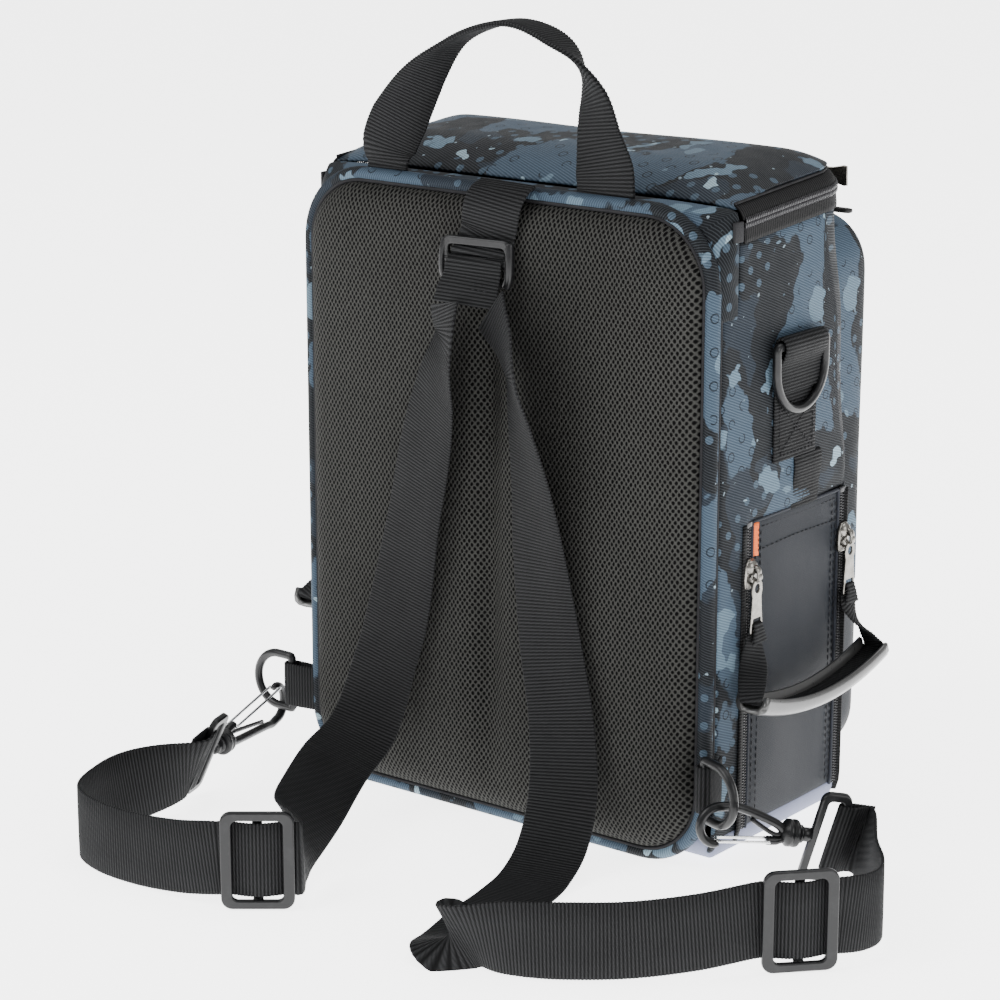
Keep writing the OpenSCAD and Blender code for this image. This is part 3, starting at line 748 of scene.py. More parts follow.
def lid_outline(step=3.0, start=2.0):
    """(x, v) along the zip, from the left hinge end round the front to the right."""
    w, r, top = HALF_W, LID_R, LID_V
    half = [(w, v) for v in np.arange(start, top - r, step)]
    half += [(w - r + r * math.cos(a), top - r + r * math.sin(a)) for a in np.linspace(0, np.pi / 2, 18)]
    half += [(x, top) for x in np.linspace(w - r, 0, 24)[1:]]
    return np.array((half + [(-x, v) for x, v in reversed(half[:-1])])[::-1])


def outline_normals(o):
    """Outward unit normals of the lid's outline."""
    t = np.gradient(o, axis=0)
    n = np.stack([-t[:, 1], t[:, 0]], 1)
    n /= np.linalg.norm(n, axis=1)[:, None]
    return n * np.sign((n * (o - [0, 30])).sum(1))[:, None]


def lid_band(name, steps):
    """Zip tape along the lid's outline: steps are (outward offset, height w)."""
    o = lid_outline()
    n = outline_normals(o)
    rows = [[lid_point(*(p + q * d), w) for p, q in zip(o, n)] for d, w in steps]
    return thicken(face_out(grid(name, rows, TAPE)), 0.9)


def lid_edge(d, w):
    """The lid's outline moved out by d, at height w, and its outward directions."""
    o = lid_outline()
    n = outline_normals(o)
    return (np.array([lid_point(*(p + q * d), w) for p, q in zip(o, n)]),
            np.array([lid_point(*q, 0) - lid_point(0, 0, 0) for q in n]))


LID_INSET = 4.2       # how far the lid's cloth stays inside the zip
LID_RIM = 8.6         # height of its edge over the zip
LID_DOME = 12.0


def lid_height(x, v, v_in):
    """Height of the cloth over the zip's plane: padded, higher at the front than at the hinge."""
    qx, qy = abs(x) - (HALF_W - LID_R), v_in - (LID_V - LID_R)
    edge = LID_R - (math.hypot(max(qx, 0), max(qy, 0)) + min(max(qx, qy), 0))
    rise = 1 - (1 - min(1.0, max(edge, 0) / 44)) ** 2.4
    back = 1 - (1 - min(1.0, (v + 1) / 42)) ** 2
    puff = 0.5 * math.sin(x / 23 + v / 17) * rise * back
    return LID_RIM + LID_DOME * rise * (0.10 + 0.90 * back) - 1.6 * (1 - back) + puff


def make_lid():
    rows = []
    vs = np.concatenate([np.linspace(1.2, LID_V - LID_R, 22),
                         LID_V - LID_R + LID_R * np.sin(np.linspace(0, np.pi / 2, 20))[1:]])
    for v in vs:
        q = max(0.0, v - (LID_V - LID_R))
        half = HALF_W - LID_R + math.sqrt(max(LID_R**2 - q * q, 0.0)) - LID_INSET
        v_in = min(v, LID_V - LID_INSET)
        rows.append([lid_point(half * s, v_in, lid_height(half * s, v, v_in))
                     for s in np.sin(np.linspace(-np.pi / 2, np.pi / 2, 61))])
    lid = face_to(grid("lid_top", rows, CAMO_SATIN, uv="xy"), (0, 0, 1))
    keep(thicken(lid, 2.2, lined=True), "lid", "camo_fabric", "lid_panel")
    upper = lid_band("lid_zip_tape", [(0.4, 1.6), (0.2, 3.2), (-0.7, 5.2), (-2.3, 7.2), (-4.6, 9.0)])
    path, out = lid_edge(0.3, 0.3)
    teeth = coil("lid_zip_coil", path, LID_UP, out, 0)
    keep(join("lid_zip_half", [upper, teeth]), "lid", "zip_tape", "lid_zip")
    lower = lid_band("body_zip_tape", [(0.4, -1.6), (0.6, -3.4), (0.6, -5.4), (0.8, -7.6), (0.8, -9.8)])
    teeth = coil("body_zip_coil", lid_edge(0.3, -0.3)[0], -LID_UP, out, 1)
    keep(join("body_zip_half", [lower, teeth]), "bag", "zip_tape", "body_zip")
    keep(tube("lid_seam_cord", lid_edge(-4.4, 9.2)[0], 0.8, THREAD, 6), "lid", "camo_fabric")


def face_out(ob):
    """Turns the patch's faces away from the bag's middle."""
    mid = Vector((0, 0, 0.2))
    total = sum((p.center - mid).dot(p.normal) * p.area for p in ob.data.polygons)
    if total < 0:
        ob.data.flip_normals()
    return ob


def face_to(ob, direction):
    """Turns the patch's faces so that most look in that direction."""
    d = Vector(direction)
    if sum(p.normal.dot(d) * p.area for p in ob.data.polygons) < 0:
        ob.data.flip_normals()
    return ob


# ---- body shell ----
BASE_R = 20.0         # radius of the side panels' lower edge
FLAP_BOTTOM = 15.0    # height of the seam where the flap meets the base cloth


def tuck(z):
    """How far the side wall leans in near the ground."""
    if z >= BASE_R:
        return 0.0
    return 0.8 * (BASE_R - math.sqrt(max(BASE_R**2 - (BASE_R - z) ** 2, 0.0)))


def ease(z, start, span):
    """0 up to start and 1 from span above it, with a smooth step between."""
    f = min(1.0, max(0.0, (z - start) / span))
    return f * f * (3 - 2 * f)


def corner_r(z):
    """Radius of the front corners at height z; LID_R where they meet the lid."""
    return 5 + 11 * ease(z, 186, 46) + (LID_R - 16) * ease(z, 262, 56)


def belly(y, z):
    """Outward swell of the padded side wall."""
    fy = max(0.0, 1 - abs(y / 56) ** 2.4)
    fz = max(0.0, 1 - abs((z - 172) / 160) ** 3)
    crease = 0.55 * math.sin(z / 11.0 + y / 7.0) * math.exp(-((z - 300) / 26) ** 2)
    return 2.2 * fy * fz + crease * fy


SIDE_BREAKS = [BACK_Y + 1, BACK_Y + 7, HINGE_Y, BACK_Y + 18, TRACK_Y[0] - 2.8, -28, -14, 0, 14, 28, 40, 48]


def plan_path(z):
    """(x, y) of the wall at height z, from the right rear corner round the front to the left."""
    r, w = corner_r(z), HALF_W - tuck(z)
    ys = [y for y in SIDE_BREAKS if y < FRONT_Y - r - 2]
    ys += list(np.linspace(ys[-1], FRONT_Y - r, len(SIDE_BREAKS) + 4 - len(ys))[1:])
    right = [(w + belly(y, z), y) for y in ys]
    right += [(w - r + r * math.cos(a), FRONT_Y - r + r * math.sin(a))
              for a in np.linspace(0, np.pi / 2, 9)[1:]]
    right += [(x, FRONT_Y) for x in np.linspace(w - r, 0, 12)[1:]]
    return right + [(-x, y) for x, y in reversed(right[:-1])]


GUSSET_Z = 288.0      # behind the hinge the wall stops here and the gusset takes over
WALL_Z = [7, 11, FLAP_BOTTOM, 24, 45, 75, 105, 135, 160, FLAP_TOP - 0.5, 196, 215, 235, 255, 272, 288, 300, 310]


def make_wall():
    rows = [[(x, y, z) for x, y in plan_path(z)] for z in WALL_Z]
    # the last row follows the lid's slope, under its zip
    rows.append([(x, y, SPLIT_Z - 8.4 + (y - HINGE_Y) * math.tan(LID_SLOPE)) for x, y in plan_path(316)])
    rows = np.array(rows)

    def stays(i, j):
        """False for the openings behind the side flaps and for the rear corners over GUSSET_Z."""
        a, b = rows[i][j], rows[i][j + 1]
        y, z = (a[1] + b[1]) / 2, (a[2] + rows[i + 1][j][2]) / 2
        side = min(abs(a[0]), abs(b[0])) > HALF_W - 12
        opening = FLAP_BOTTOM < z < FLAP_TOP - 0.5 and TRACK_Y[0] - 2.8 < y < FRONT_Y - 3.3
        return not (side and (opening or z > GUSSET_Z and y < HINGE_Y))

    wall = thicken(face_out(grid("bag_wall", rows, CAMO, stays=stays)), 2.6, lined=True)
    keep(wall, "bag", "camo_fabric", "right_side_panel", "left_side_panel", "front_panel")


def make_base():
    """The tub of base cloth, up to the seam of the side flaps."""
    depth, middle = FRONT_Y - BACK_Y - 3, (FRONT_Y + BACK_Y + 1) / 2
    width = 2 * (HALF_W - tuck(FLAP_BOTTOM)) + 0.8
    steps = [(0.0, FLAP_BOTTOM + 1.5), (0.0, 12), (1.5, 8), (4, 4.5), (8, 2.0), (13, 0.7), (20, 0.3), (40, 0.3)]
    rows = [[(x, y + middle, z) for x, y in rounded(width, depth, 8, inset)] for inset, z in steps]
    base = grid("base_cloth_tub", rows, BASE_CLOTH, close=True)
    cap(base, (len(rows) - 1) * len(rows[0]), len(rows[0]))
    keep(thicken(outward(base), 2.0, lined=True), "bag", "tarpaulin", "base_panel")


def ring_outline(w, h, r, inset=0.0, n_side=26, corner=14):
    o = rounded(w, h, r, inset, corner, n_side)
    return [(x, z + BACK_H / 2) for x, z in o]


def pad_depth(x, z, depth):
    """How far the pad stands out at a point of the ring that is depth deep: two lobes and a valley."""
    f = min(1.0, depth / 16)
    ends = min(1.0, max(0.0, (z - 18) / 60)) * min(1.0, max(0.0, (BACK_H - 22 - z) / 70))
    valley = 6.8 * math.exp(-(x / 8.5) ** 2) * ends * f
    return depth - valley - 0.5 * math.sin(x / 31 + 1) * math.sin(z / 37) * f


def make_back():
    width, height, r = 248.0, 323.0, 34.0
    steps = [(0, 0), (0.3, 3), (1.2, 6.5), (3.0, 9.8), (6, 12.6), (10, 14.5), (15, 15.8), (21, 16.6),
             (28, 17.2), (36, 17.6), (45, 17.9)]
    steps += [(inset, 18) for inset in (55, 66, 78, 90, 98, 104, 108, 112, 115, 118, 121, 124)]
    rows = [[(x if inset < width / 2 else 0.0, BACK_Y - 1 - pad_depth(x, z, depth), z)
             for x, z in ring_outline(width, height, r, inset, 34, 14)] for inset, depth in steps]
    pad = soften(outward(weld(grid("back_pad_mesh", rows, MESH, uv="xz", close=True), 0.0003)))
    keep(pad, "bag", "air_mesh", "back_pad")
    # camo binding round the back, with a welt cord on both sides
    path = [(x, BACK_Y - 3.6, z) for x, z in ring_outline(253.5, 328.5, 37)]
    band = [tube("back_binding", path, 4.3, CAMO, 14, closed=True, flat=(1.0, 0.88), side=(0, 1, 0))]
    for grow, y, radius in ((-5.6, BACK_Y - 6.6, 1.1), (3.4, BACK_Y + 0.4, 1.3)):
        o = ring_outline(253.5 + grow, 328.5 + grow, 37 + grow / 2)
        band.append(tube("welt", [(x, y, z) for x, z in o], radius, THREAD, 8, closed=True))
    band = keep(join("back_binding", band), "bag", "camo_fabric", "back_piping")


def resample(path, n):
    """n points evenly along path."""
    at = lengths(path)
    return along(path, at, np.linspace(0, at[-1], n))


def half_arch(half_w, top, r):
    """Right half of an arch in X and Z, from its foot up to the corner's middle, and on to the centre."""
    arc = [(half_w - r + r * math.cos(a), top - r + r * math.sin(a)) for a in np.linspace(0, np.pi / 2, 17)]
    rising = np.array([(half_w, GUSSET_Z - 9)] + arc[:9])
    across = np.array(arc[8:] + [(0.0, top)])
    return np.vstack([resample(rising, 14), resample(across, 30)])


def make_gusset():
    """Cloth from the back's arch to the hinge end of the lid."""
    rear = half_arch(HALF_W - 1.0, BACK_H - 1.0, 38)
    front = half_arch(HALF_W + 0.4, SPLIT_Z + 7.6, 5)
    rows = []
    for f in np.linspace(0, 1, 7):
        bulge = 1.4 * math.sin(math.pi * f)
        half = [(x + bulge * (x > HALF_W - 30), BACK_Y - 2 + f * 15.4, z + bulge)
                for x, z in rear + (front - rear) * f]
        rows.append(half + [(-x, y, z) for x, y, z in reversed(half[:-1])])
    top = thicken(face_out(grid("rear_gusset", rows, CAMO)), 2.0, lined=True)
    keep(top, "bag", "camo_fabric", "lid_gusset")
    stops = []
    for s in (-1, 1):
        x = s * (HALF_W + 0.2)
        low, high = (x - 1.0, HINGE_Y - 6, SPLIT_Z - 8.6), (x + 1.0, HINGE_Y + 1.5, SPLIT_Z + 1.5)
        stops.append(block("stop", low, high, 0.6, THREAD))
    keep(join("zip_end_stops", stops), "bag", "zip_tape", "zip_stops")


# ---- side flaps and their zips ----
FLAP_MID = (FLAP_Y0 + FLAP_Y1) / 2


def on_side(y, z, out=0.0):
    """The point of the right side wall at y and z, moved out by that much."""
    return HALF_W - tuck(z) + out, y, z


def flap_cloth():
    z0, z1 = FLAP_BOTTOM, FLAP_TOP
    rows = []
    for z in [z0, 18, 22, 28, 36] + list(np.linspace(46, z1 - 6, 18)) + [z1 - 3, z1]:
        row = []
        for y in np.linspace(FLAP_Y0 + 0.3, FLAP_Y1 - 0.3, 24):
            fy = 1 - abs((y - FLAP_MID) / 41.0) ** 4
            fz = min(1.0, (z - z0) / 30) * min(1.0, (z1 + 14 - z) / 30)
            crease = 0.7 * math.sin((z * 0.5 + y * 1.1) / 13.0) * math.exp(-((z - 62) / 30) ** 2)
            hem = min(abs(y - FLAP_Y0 - 4.2), abs(y - FLAP_Y1 + 4.2)) < 1.8
            row.append(on_side(y, z, 0.2 + (1.5 * fz + crease) * fy - 0.175 * hem))
        rows.append(row)
    return thicken(face_to(grid("flap_panel", rows, TARP), OUT), 1.8, lined=True)


def flap_stitching():
    """Two rows down each side, one along the top and one across."""
    sew = []
    for side, inwards in ((FLAP_Y0, 1), (FLAP_Y1, -1)):
        for d, out in ((3.2, 0.75), (7.2, 1.05)):
            line = [on_side(side + inwards * d, z, out) for z in np.linspace(FLAP_BOTTOM + 3, FLAP_TOP - 3, 40)]
            sew.append(stitches("side_hem", line, OUT))
    ys = np.linspace(FLAP_Y0 + 3.2, FLAP_Y1 - 3.2, 30)
    sew.append(stitches("top_hem", [on_side(y, FLAP_TOP - 4.2, 0.8) for y in ys], OUT))
    across = [on_side(y, 160 + 1.5 * math.sin((y + 31) / 26), 1.75 - 0.9 * abs((y - 9.5) / 41) ** 3)
              for y in ys]
    sew.append(stitches("cross_hem", across, OUT))
    return sew


def flap_trim():
    """The folded edge, up one side, along the top and down the other."""
    y0, y1 = FLAP_Y0 + 0.4, FLAP_Y1 - 0.4
    up = [(y0, z) for z in np.linspace(FLAP_BOTTOM + 4, FLAP_TOP - 0.8, 30)]
    top = [(y, FLAP_TOP - 0.4) for y in np.linspace(y0 + 0.8, y1 - 0.8, 16)]
    down = [(y1, z) for _, z in reversed(up)]
    edge = [on_side(y, z, 0.3) for y, z in [(y0, FLAP_BOTTOM)] + up + top + down + [(y1, FLAP_BOTTOM)]]
    return tube("flap_edge", edge, 1.0, TARP_EDGE, 8, side=OUT)


def side_zip(part, spans, foot, half):
    """Tape and teeth of both zips of the right flap: its own half (0) or the body's (1)."""
    bits = []
    for (y0, y1), centre, s in zip(spans, TRACK_Y, (1, -1)):
        rows = [[on_side(y, z, 1.9 if half and abs(y - 9.5) > 46 else -0.5)
                 for z in np.linspace(foot, FLAP_TOP - 0.5, 30)] for y in np.linspace(y0, y1, 5)]
        bits.append(thicken(face_to(grid("tape", rows, TAPE), OUT), 0.9))
        away = -s if half else s
        path = np.array([on_side(centre + 0.2 * away, z, -0.2)
                         for z in np.linspace(FLAP_BOTTOM, FLAP_TOP - 2, 60)])
        bits.append(coil("teeth", path, (0, away, 0), OUT, half))
    return join(f"right_{part}_zip_half", bits)


def make_flaps():
    flap = join("right_flap_panel", [flap_cloth()] + flap_stitching() + [flap_trim()])
    own = side_zip("flap", ((FLAP_Y0 - 2.9, FLAP_Y0 + 0.6), (FLAP_Y1 - 0.6, FLAP_Y1 + 2.9)), FLAP_BOTTOM, 0)
    body = side_zip("body", ((TRACK_Y[0] - 6.4, TRACK_Y[0] - 0.1), (TRACK_Y[1] + 0.1, TRACK_Y[1] + 4.0)),
                    FLAP_BOTTOM - 5, 1)
    top = FLAP_TOP + 0.5
    stops = [block("top_stop", (HALF_W - 0.6, y - 2.6, top - 3), (HALF_W + 1.2, y + 2.6, top), 0.5, COIL)
             for y in TRACK_Y]
    body = join("right_body_zip_half", [body] + stops)
    pieces = [flap, own, body]
    for side, s in (("right", 1), ("left", -1)):
        if s < 0:
            pieces = [mirrored(ob, ob.name.replace("right", "left")) for ob in pieces]
        node, start, end = f"{side}_flap", (s * HALF_W, 0, 4), (s * HALF_W, 0, 46)
        bend(pieces[0], "bag", node, start, end, "tarpaulin", node)
        bend(pieces[1], "bag", node, start, end, "zip_tape", f"{side}_flap_tracks")
        keep(pieces[2], "bag", "zip_tape", f"{side}_body_tracks")


def make_tag():
    """The small folded tag at the right flap's top corner."""
    rows = [[(HALF_W + 1.0 + 0.9 * f, FLAP_Y0 + 0.6 + 3.6 * f, z) for f in (0, 0.5, 1)]
            for z in np.linspace(FLAP_TOP - 18, FLAP_TOP - 1, 8)]
    tag = thicken(face_to(grid("orange_tag", rows, ORANGE), OUT), 0.6)
    line = [(HALF_W + 2.2, FLAP_Y0 + 3.4, z) for z in np.linspace(FLAP_TOP - 17, FLAP_TOP - 2, 8)]
    hem = stitches("tag_hem", line, OUT, 1.6, 1.0, 0.25)
    keep(join("orange_tag", [tag, hem]), "right_flap", "orange_tag", "flap_tag")


# ---- zip sliders, pulls and the grip ----
BRIDGE = 5.2


def facing_x(x):
    """Turns a plate in X and Y to face along X, its width along Y and its height along Z."""
    return Matrix(((0, 0, 1, x), (1, 0, 0, 0), (0, 1, 0, 0), (0, 0, 0, 1)))


def slider_body():
    """A cast slider: bulbous shell, wings and a bridge loop; face along +X, zip along Z."""
    right = [(3.0, -7.6), (4.4, -7.2), (5.0, -6.0), (5.1, -2.0), (4.8, 1.5), (4.6, 4.0), (3.9, 6.2), (2.4, 7.6)]
    outline = right + [(0.0, 8.1)] + [(-y, z) for y, z in reversed(right)]
    shell = place(plate("shell", outline, [], 2.4, 0.8, NICKEL), facing_x(0.9))
    loop = spline([(1.6, 0, 3.4), (3.8, 0, 4.4), (BRIDGE + 0.9, 0, 3.2), (BRIDGE + 1.5, 0, 0.4),
                   (BRIDGE + 1.0, 0, -2.2), (4.2, 0, -4.2), (1.4, 0, -5.4)], 8)
    radii = [1.5] * 12 + list(np.linspace(1.5, 1.05, len(loop) - 12))
    arch = tube("arch", loop, radii, NICKEL, 12, flat=(1.25, 0.6), side=(0, 1, 0))
    profile = [(1.2, 0.1), (1.3, 4.3), (2.2, 4.2), (3.2, 3.7), (4.0, 2.8), (4.5, 1.6), (4.7, 0.1)]
    dome = place(lathe("dome", profile, NICKEL, 24), Matrix.Translation((0, 0, 3.4)))
    return join("slider", [shell, arch, dome])


def pull_body(length, hole=True):
    """A stamped pull: a ring over the bridge, a neck and a tab with a slot."""
    path = circle((BRIDGE, 0, -0.6), (1, 0, 0), (0, 0, 1), 2.3, 20)
    ring = tube("ring", path, 0.7, NICKEL, 8, closed=True, flat=(2.2, 1.0), side=(0, 1, 0))
    left = [(-2.4, -2.2), (-4.2, -4.4), (-4.6, -8), (-3.8, -11), (-4.0, -14), (-5.4, -length + 2.0),
            (-5.0, -length)]
    outline = left + [(-x, z) for x, z in reversed(left)]
    holes = []
    if hole:
        slot = [(-3.3, -length + 8.0), (-3.8, -length + 2.4), (3.8, -length + 2.4), (3.3, -length + 8.0)]
        holes = [slot, circle((0, -6.6), (1, 0), (0, 1), 2.2, 16)]
    tab = place(plate("tab", outline, holes, 1.3, 0.45, NICKEL), facing_x(BRIDGE))
    return join("pull", [ring, tab])


GRIP_X, GRIP_R, GRIP_HALF = HALF_W + 16, 170.0, 20.0
GRIP_MID = np.array([GRIP_X, 6.0, 80.0])


def on_grip(deg, drop=0.0):
    """A point on the grip's arc, or drop below it."""
    a = math.radians(deg)
    return GRIP_MID + (GRIP_R + drop) * np.array([0, math.sin(a), -math.cos(a)]) + np.array([0, 0, GRIP_R])


def pull_route():
    """The webbing: folded through both pulls, then over the grip."""
    low = SLIDER_Z - 30 + 4.6
    y0, y1 = TRACK_Y
    ends = []
    for y, s, spread in ((y0, 1, (-1, -5, -13, -17.5)), (y1, -1, (1, 4, 8, 10.5))):
        ends.append([
            ((HALF_W + 8.4, y + 0.2 * s, low - 9), (0, s, 0), 13),
            ((HALF_W + 7.8, y, low - 1.5), (0, s, 0), 7.4),
            ((HALF_W + 6.6, y, low + 1.0), (0, s, 0), 7.2),
            ((HALF_W + 5.0, y, low - 1.5), (0, s, 0), 8),
            ((HALF_W + 5.6, y + spread[0], low - 9), (0, s, 0), 14),
            ((HALF_W + 8.5, y + spread[1], 106), (0.5, 0.86 * s, 0), 14.5),
            ((HALF_W + 13, y + spread[2], 98), (0.9, 0.4 * s, 0), 14),
            ((GRIP_X, y + spread[3], 91), (1, 0.05 * s, 0), 12.5)])
    middle = same(OUT, 10.5, *[on_grip(a) for a in np.arange(-GRIP_HALF + 3, GRIP_HALF - 2, 5.66)])
    return ends[0] + middle + ends[1][::-1]


def grip_channel():
    """The moulded grip: a channel, open below, along the arc."""
    half = [(-9, -4), (-9, 0.5), (-7.6, 3.4), (-4.6, 4.9), (0, 5.2)]
    inner = [(8.0, -4.6), (6.6, -4), (6.4, -0.4), (4.6, 2.0), (0, 2.9)]
    profile = [p for h in (half, inner) for p in h + [(-x, r) for x, r in reversed(h[:-1])]]
    rows = [[on_grip(a, r) + np.array([x, 0, 0]) for x, r in profile]
            for a in np.linspace(-GRIP_HALF, GRIP_HALF, 40)]
    return cap_ends(grid("right_grip_channel", rows, SMOKY, close=True), len(rows), len(profile))


def make_side_pulls():
    """Each side's sliders, pulls, webbing and grip."""
    sliders, pulls = [], []
    for y in TRACK_Y:
        spot = Matrix.Translation((HALF_W + 0.8, y, SLIDER_Z))
        sliders.append(place(slider_body(), spot))
        pulls.append(place(pull_body(30), spot))
    for ob, part, slot, node in (
            (join("right_zip_sliders", sliders), "sliders", "nickel", "sliders"),
            (join("right_zip_pulls_cast", pulls), "pull", "nickel", "zip_pulls"),
            (ribbon("right_pull_webbing_strip", pull_route(), thick=1.4), "pull", "webbing", "pull_webbing"),
            (grip_channel(), "pull", "grip_plastic", "grip")):
        other = mirrored(ob, ob.name.replace("right", "left"))
        keep(ob, f"right_{part}", slot, f"right_{node}")
        keep(other, f"left_{part}", slot, f"left_{node}")


def make_lid_pulls():
    """The two sliders of the lid zip, at the front, with their pulls."""
    for side, x, flip in (("right", 98.0, -1), ("left", 64.0, 1)):
        # slider axes: its X looks out along the lid, its Z runs along the zip
        axes = Matrix(((0, -1, 0, x), (1, 0, 0, 0), (0, 0, 1, 0), (0, 0, 0, 1)))
        where = (Matrix.Translation(Vector(lid_point(0, LID_V + 1.4, 0))) @ Matrix.Rotation(LID_SLOPE, 4, "X")
                 @ axes @ Matrix.Rotation(math.radians(90 * flip), 4, "X"))
        for ob, node in ((slider_body(), "slider"), (pull_body(22, False), "pull")):
            place(ob, where)
            ob.name = f"lid_{side}_{node}_cast"
            keep(ob, f"lid_{side}_{node}", "nickel", f"lid_{side}_{node}")


# ---- front pocket ----
POCKET_HW, POCKET_BOTTOM, POCKET_SEAM, POCKET_TOP = 115.0, 14, 110.0, 312.0
POCKET_MID = (POCKET_TOP + POCKET_SEAM) / 2


def pocket_shell(name, z0, z1, radii, steps, material):
    """One half of the pocket: steps are (inset, depth) from the bag's front outwards."""
    rows = []
    half, mid = (z1 - z0) / 2, (z0 + z1) / 2
    for inset, depth in steps + [(half, steps[-1][1])]:
        o = rounded(2 * POCKET_HW, z1 - z0, radii, inset, 10, 22)
        rows.append([(x, FRONT_Y + depth + 0.35 * math.sin(x / 19 + z / 27), mid + (z if inset < half else 0.0))
                     for x, z in o])
    ob = weld(grid(name, rows, material, close=True), 0.0003)
    planar(ob)
    return thicken(outward(ob), 2.4, lined=True)


def planar(ob):
    """UV in metres from the two axes that each face looks along least."""
    uv = ob.data.uv_layers[0].data
    for p in ob.data.polygons:
        k = max(range(3), key=lambda i: abs(p.normal[i]))
        a, b = [(1, 2), (0, 2), (0, 1)][k]
        for li in p.loop_indices:
            co = ob.data.vertices[ob.data.loops[li].vertex_index].co
            uv[li].uv = (co[a], co[b])


def make_pocket():
    tub_steps = [(0, 0.6), (0, 12), (0.2, 26), (0.8, 34), (2.4, 39.5), (5.5, 43), (10, 44.6), (18, 45.4),
                 (28, 45.7), (40, 45.8), (46, 45.8)]
    tub = pocket_shell("pocket_tub_shell", POCKET_BOTTOM, POCKET_SEAM, [3, 3, 28, 28], tub_steps, TARP)
    keep(tub, "bag", "tarpaulin", "pocket_tub")
    door_steps = [(0, 3.6), (0, 13), (0.2, 26), (0.8, 34), (2.4, 39), (5.5, 42.6), (11, 44.6), (20, 45.6),
                  (34, 46), (52, 46.2), (72, 46.2), (88, 46.2), (98, 46.2)]
    door = pocket_shell("pocket_door_shell", POCKET_SEAM + 0.8, POCKET_TOP, [30, 30, 3, 3], door_steps, CAMO)
    keep(door, "pocket_door", "camo_fabric", "pocket_door")


def make_pocket_zip():
    """The zip round the door, from one end of the split to the other."""
    o = rounded(2 * POCKET_HW - 1, POCKET_TOP - POCKET_SEAM, [30, 30, 1, 1], 0, 12, 30)
    around = [(x, z + POCKET_MID) for x, z in o]
    start = min(range(len(around)), key=lambda i: abs(around[i][0] - POCKET_HW) + around[i][1])
    line = [p for p in around[start:] + around[:start] if p[1] > POCKET_SEAM + 1.5]
    path = np.array([(x, FRONT_Y + 1.7, z) for x, z in line])
    away = np.array([unit(np.array([x, 0, z - POCKET_MID + 0.01])) for x, z in line])
    rows = [path + np.array([0, dy, 0]) + away * grow
            for dy, grow in ((-1.5, 0.6), (-0.5, 0.2), (0.9, 0.2), (1.6, 0.2))]
    tape = thicken(face_out(grid("pocket_tape", rows, TAPE)), 0.8)
    teeth = coil("teeth", path + away * 0.2, (0, 1, 0), away, 0)
    keep(join("pocket_zip_tape", [tape, teeth]), "bag", "zip_tape", "pocket_zip")


def make_pocket_slider():
    """A black slider on top of the door, with a rubber pull."""
    spot = np.array([84.0, FRONT_Y + 3.2, POCKET_TOP + 0.4])
    body = slider_body()
    paint(body, PLASTIC)
    # the slider's face looks up and the zip runs along X
    place(body, Matrix(((0, 0, 1, spot[0]), (0, 0.62, 0, spot[1]), (0.85, 0, 0, spot[2]), (0, 0, 0, 1))))
    body.name = "pocket_slider_cast"
    keep(body, "pocket_slider", "black_plastic", "pocket_slider")
    low = [(2, -1.6), (9, -1.9), (24, -2.4), (38, -2.3), (40.6, -1.4)]
    rubber = plate("pocket_pull_tab", low + [(x, -y) for x, y in reversed(low)], [], 2.4, 0.8, RUBBER)
    loop = spot + np.array([0, 0, BRIDGE])
    place(rubber, Matrix.Translation(loop))
    eye = tube("eye", circle(loop, OUT, UP, 2.2, 18), 0.7, RUBBER, 8, closed=True, side=(0, 1, 0))
    keep(join("pocket_pull_rubber", [rubber, eye]), "pocket_pull", "soft_rubber", "pocket_pull")


def paint(ob, material):
    """Replaces all materials of ob."""
    ob.data.materials.clear()
    ob.data.materials.append(material)


# ---- webbing routes, as the CAD has them ----
PAD_Y = BACK_Y - 19
BUCKLE_Z = 299.0
GLIDE_Z = 25.2
LEFT_GLIDE, LEFT_TURN = np.array([-17, -235, GLIDE_Z]), math.radians(38)
RIGHT_GLIDE, RIGHT_TURN = np.array([230, -136, GLIDE_Z]), math.radians(47)
GLIDE_PASS = [(21, -3.4), (14, -3.4), (4, -0.5), (-4, -0.5), (-14, -3.4), (-21, -3.4)]
HOOK_R, EYE_R = np.array([172, -48, 27.0]), np.array([147.3, -80.5, 35.3])
HOOK_L, EYE_L = np.array([-143, -127, 27.0]), np.array([-158, -66, 30.3])


def by_glide(p, turn, u, d):
    """The point u along a triglide's heading and d out of its face, from its middle p."""
    return (p + u * np.array([math.cos(turn), math.sin(turn), 0])
            + d * np.array([math.sin(turn), -math.cos(turn), 0]))


def ring_loop(collar, eye, roll, across, layer=2.4):
    """Stations that take the webbing round the strap ring's outer bar and back."""
    axes = hook_frame(collar, eye, roll)
    d, n, a = (np.array(axes.col[k][:3]) for k in range(3))
    if a @ np.array(across, float) < 0:
        a, n = -a, -n
    bar = collar - d * 21.0

    def at(along, off):
        return (bar + d * along + n * off, a, WEB_W)

    return [at(-14, layer * 0.7), at(-3, layer), at(1.5, layer * 0.85), at(3.0, 0), at(1.5, -layer * 0.85),
            at(-3, -layer), at(-16, -layer * 0.75)]


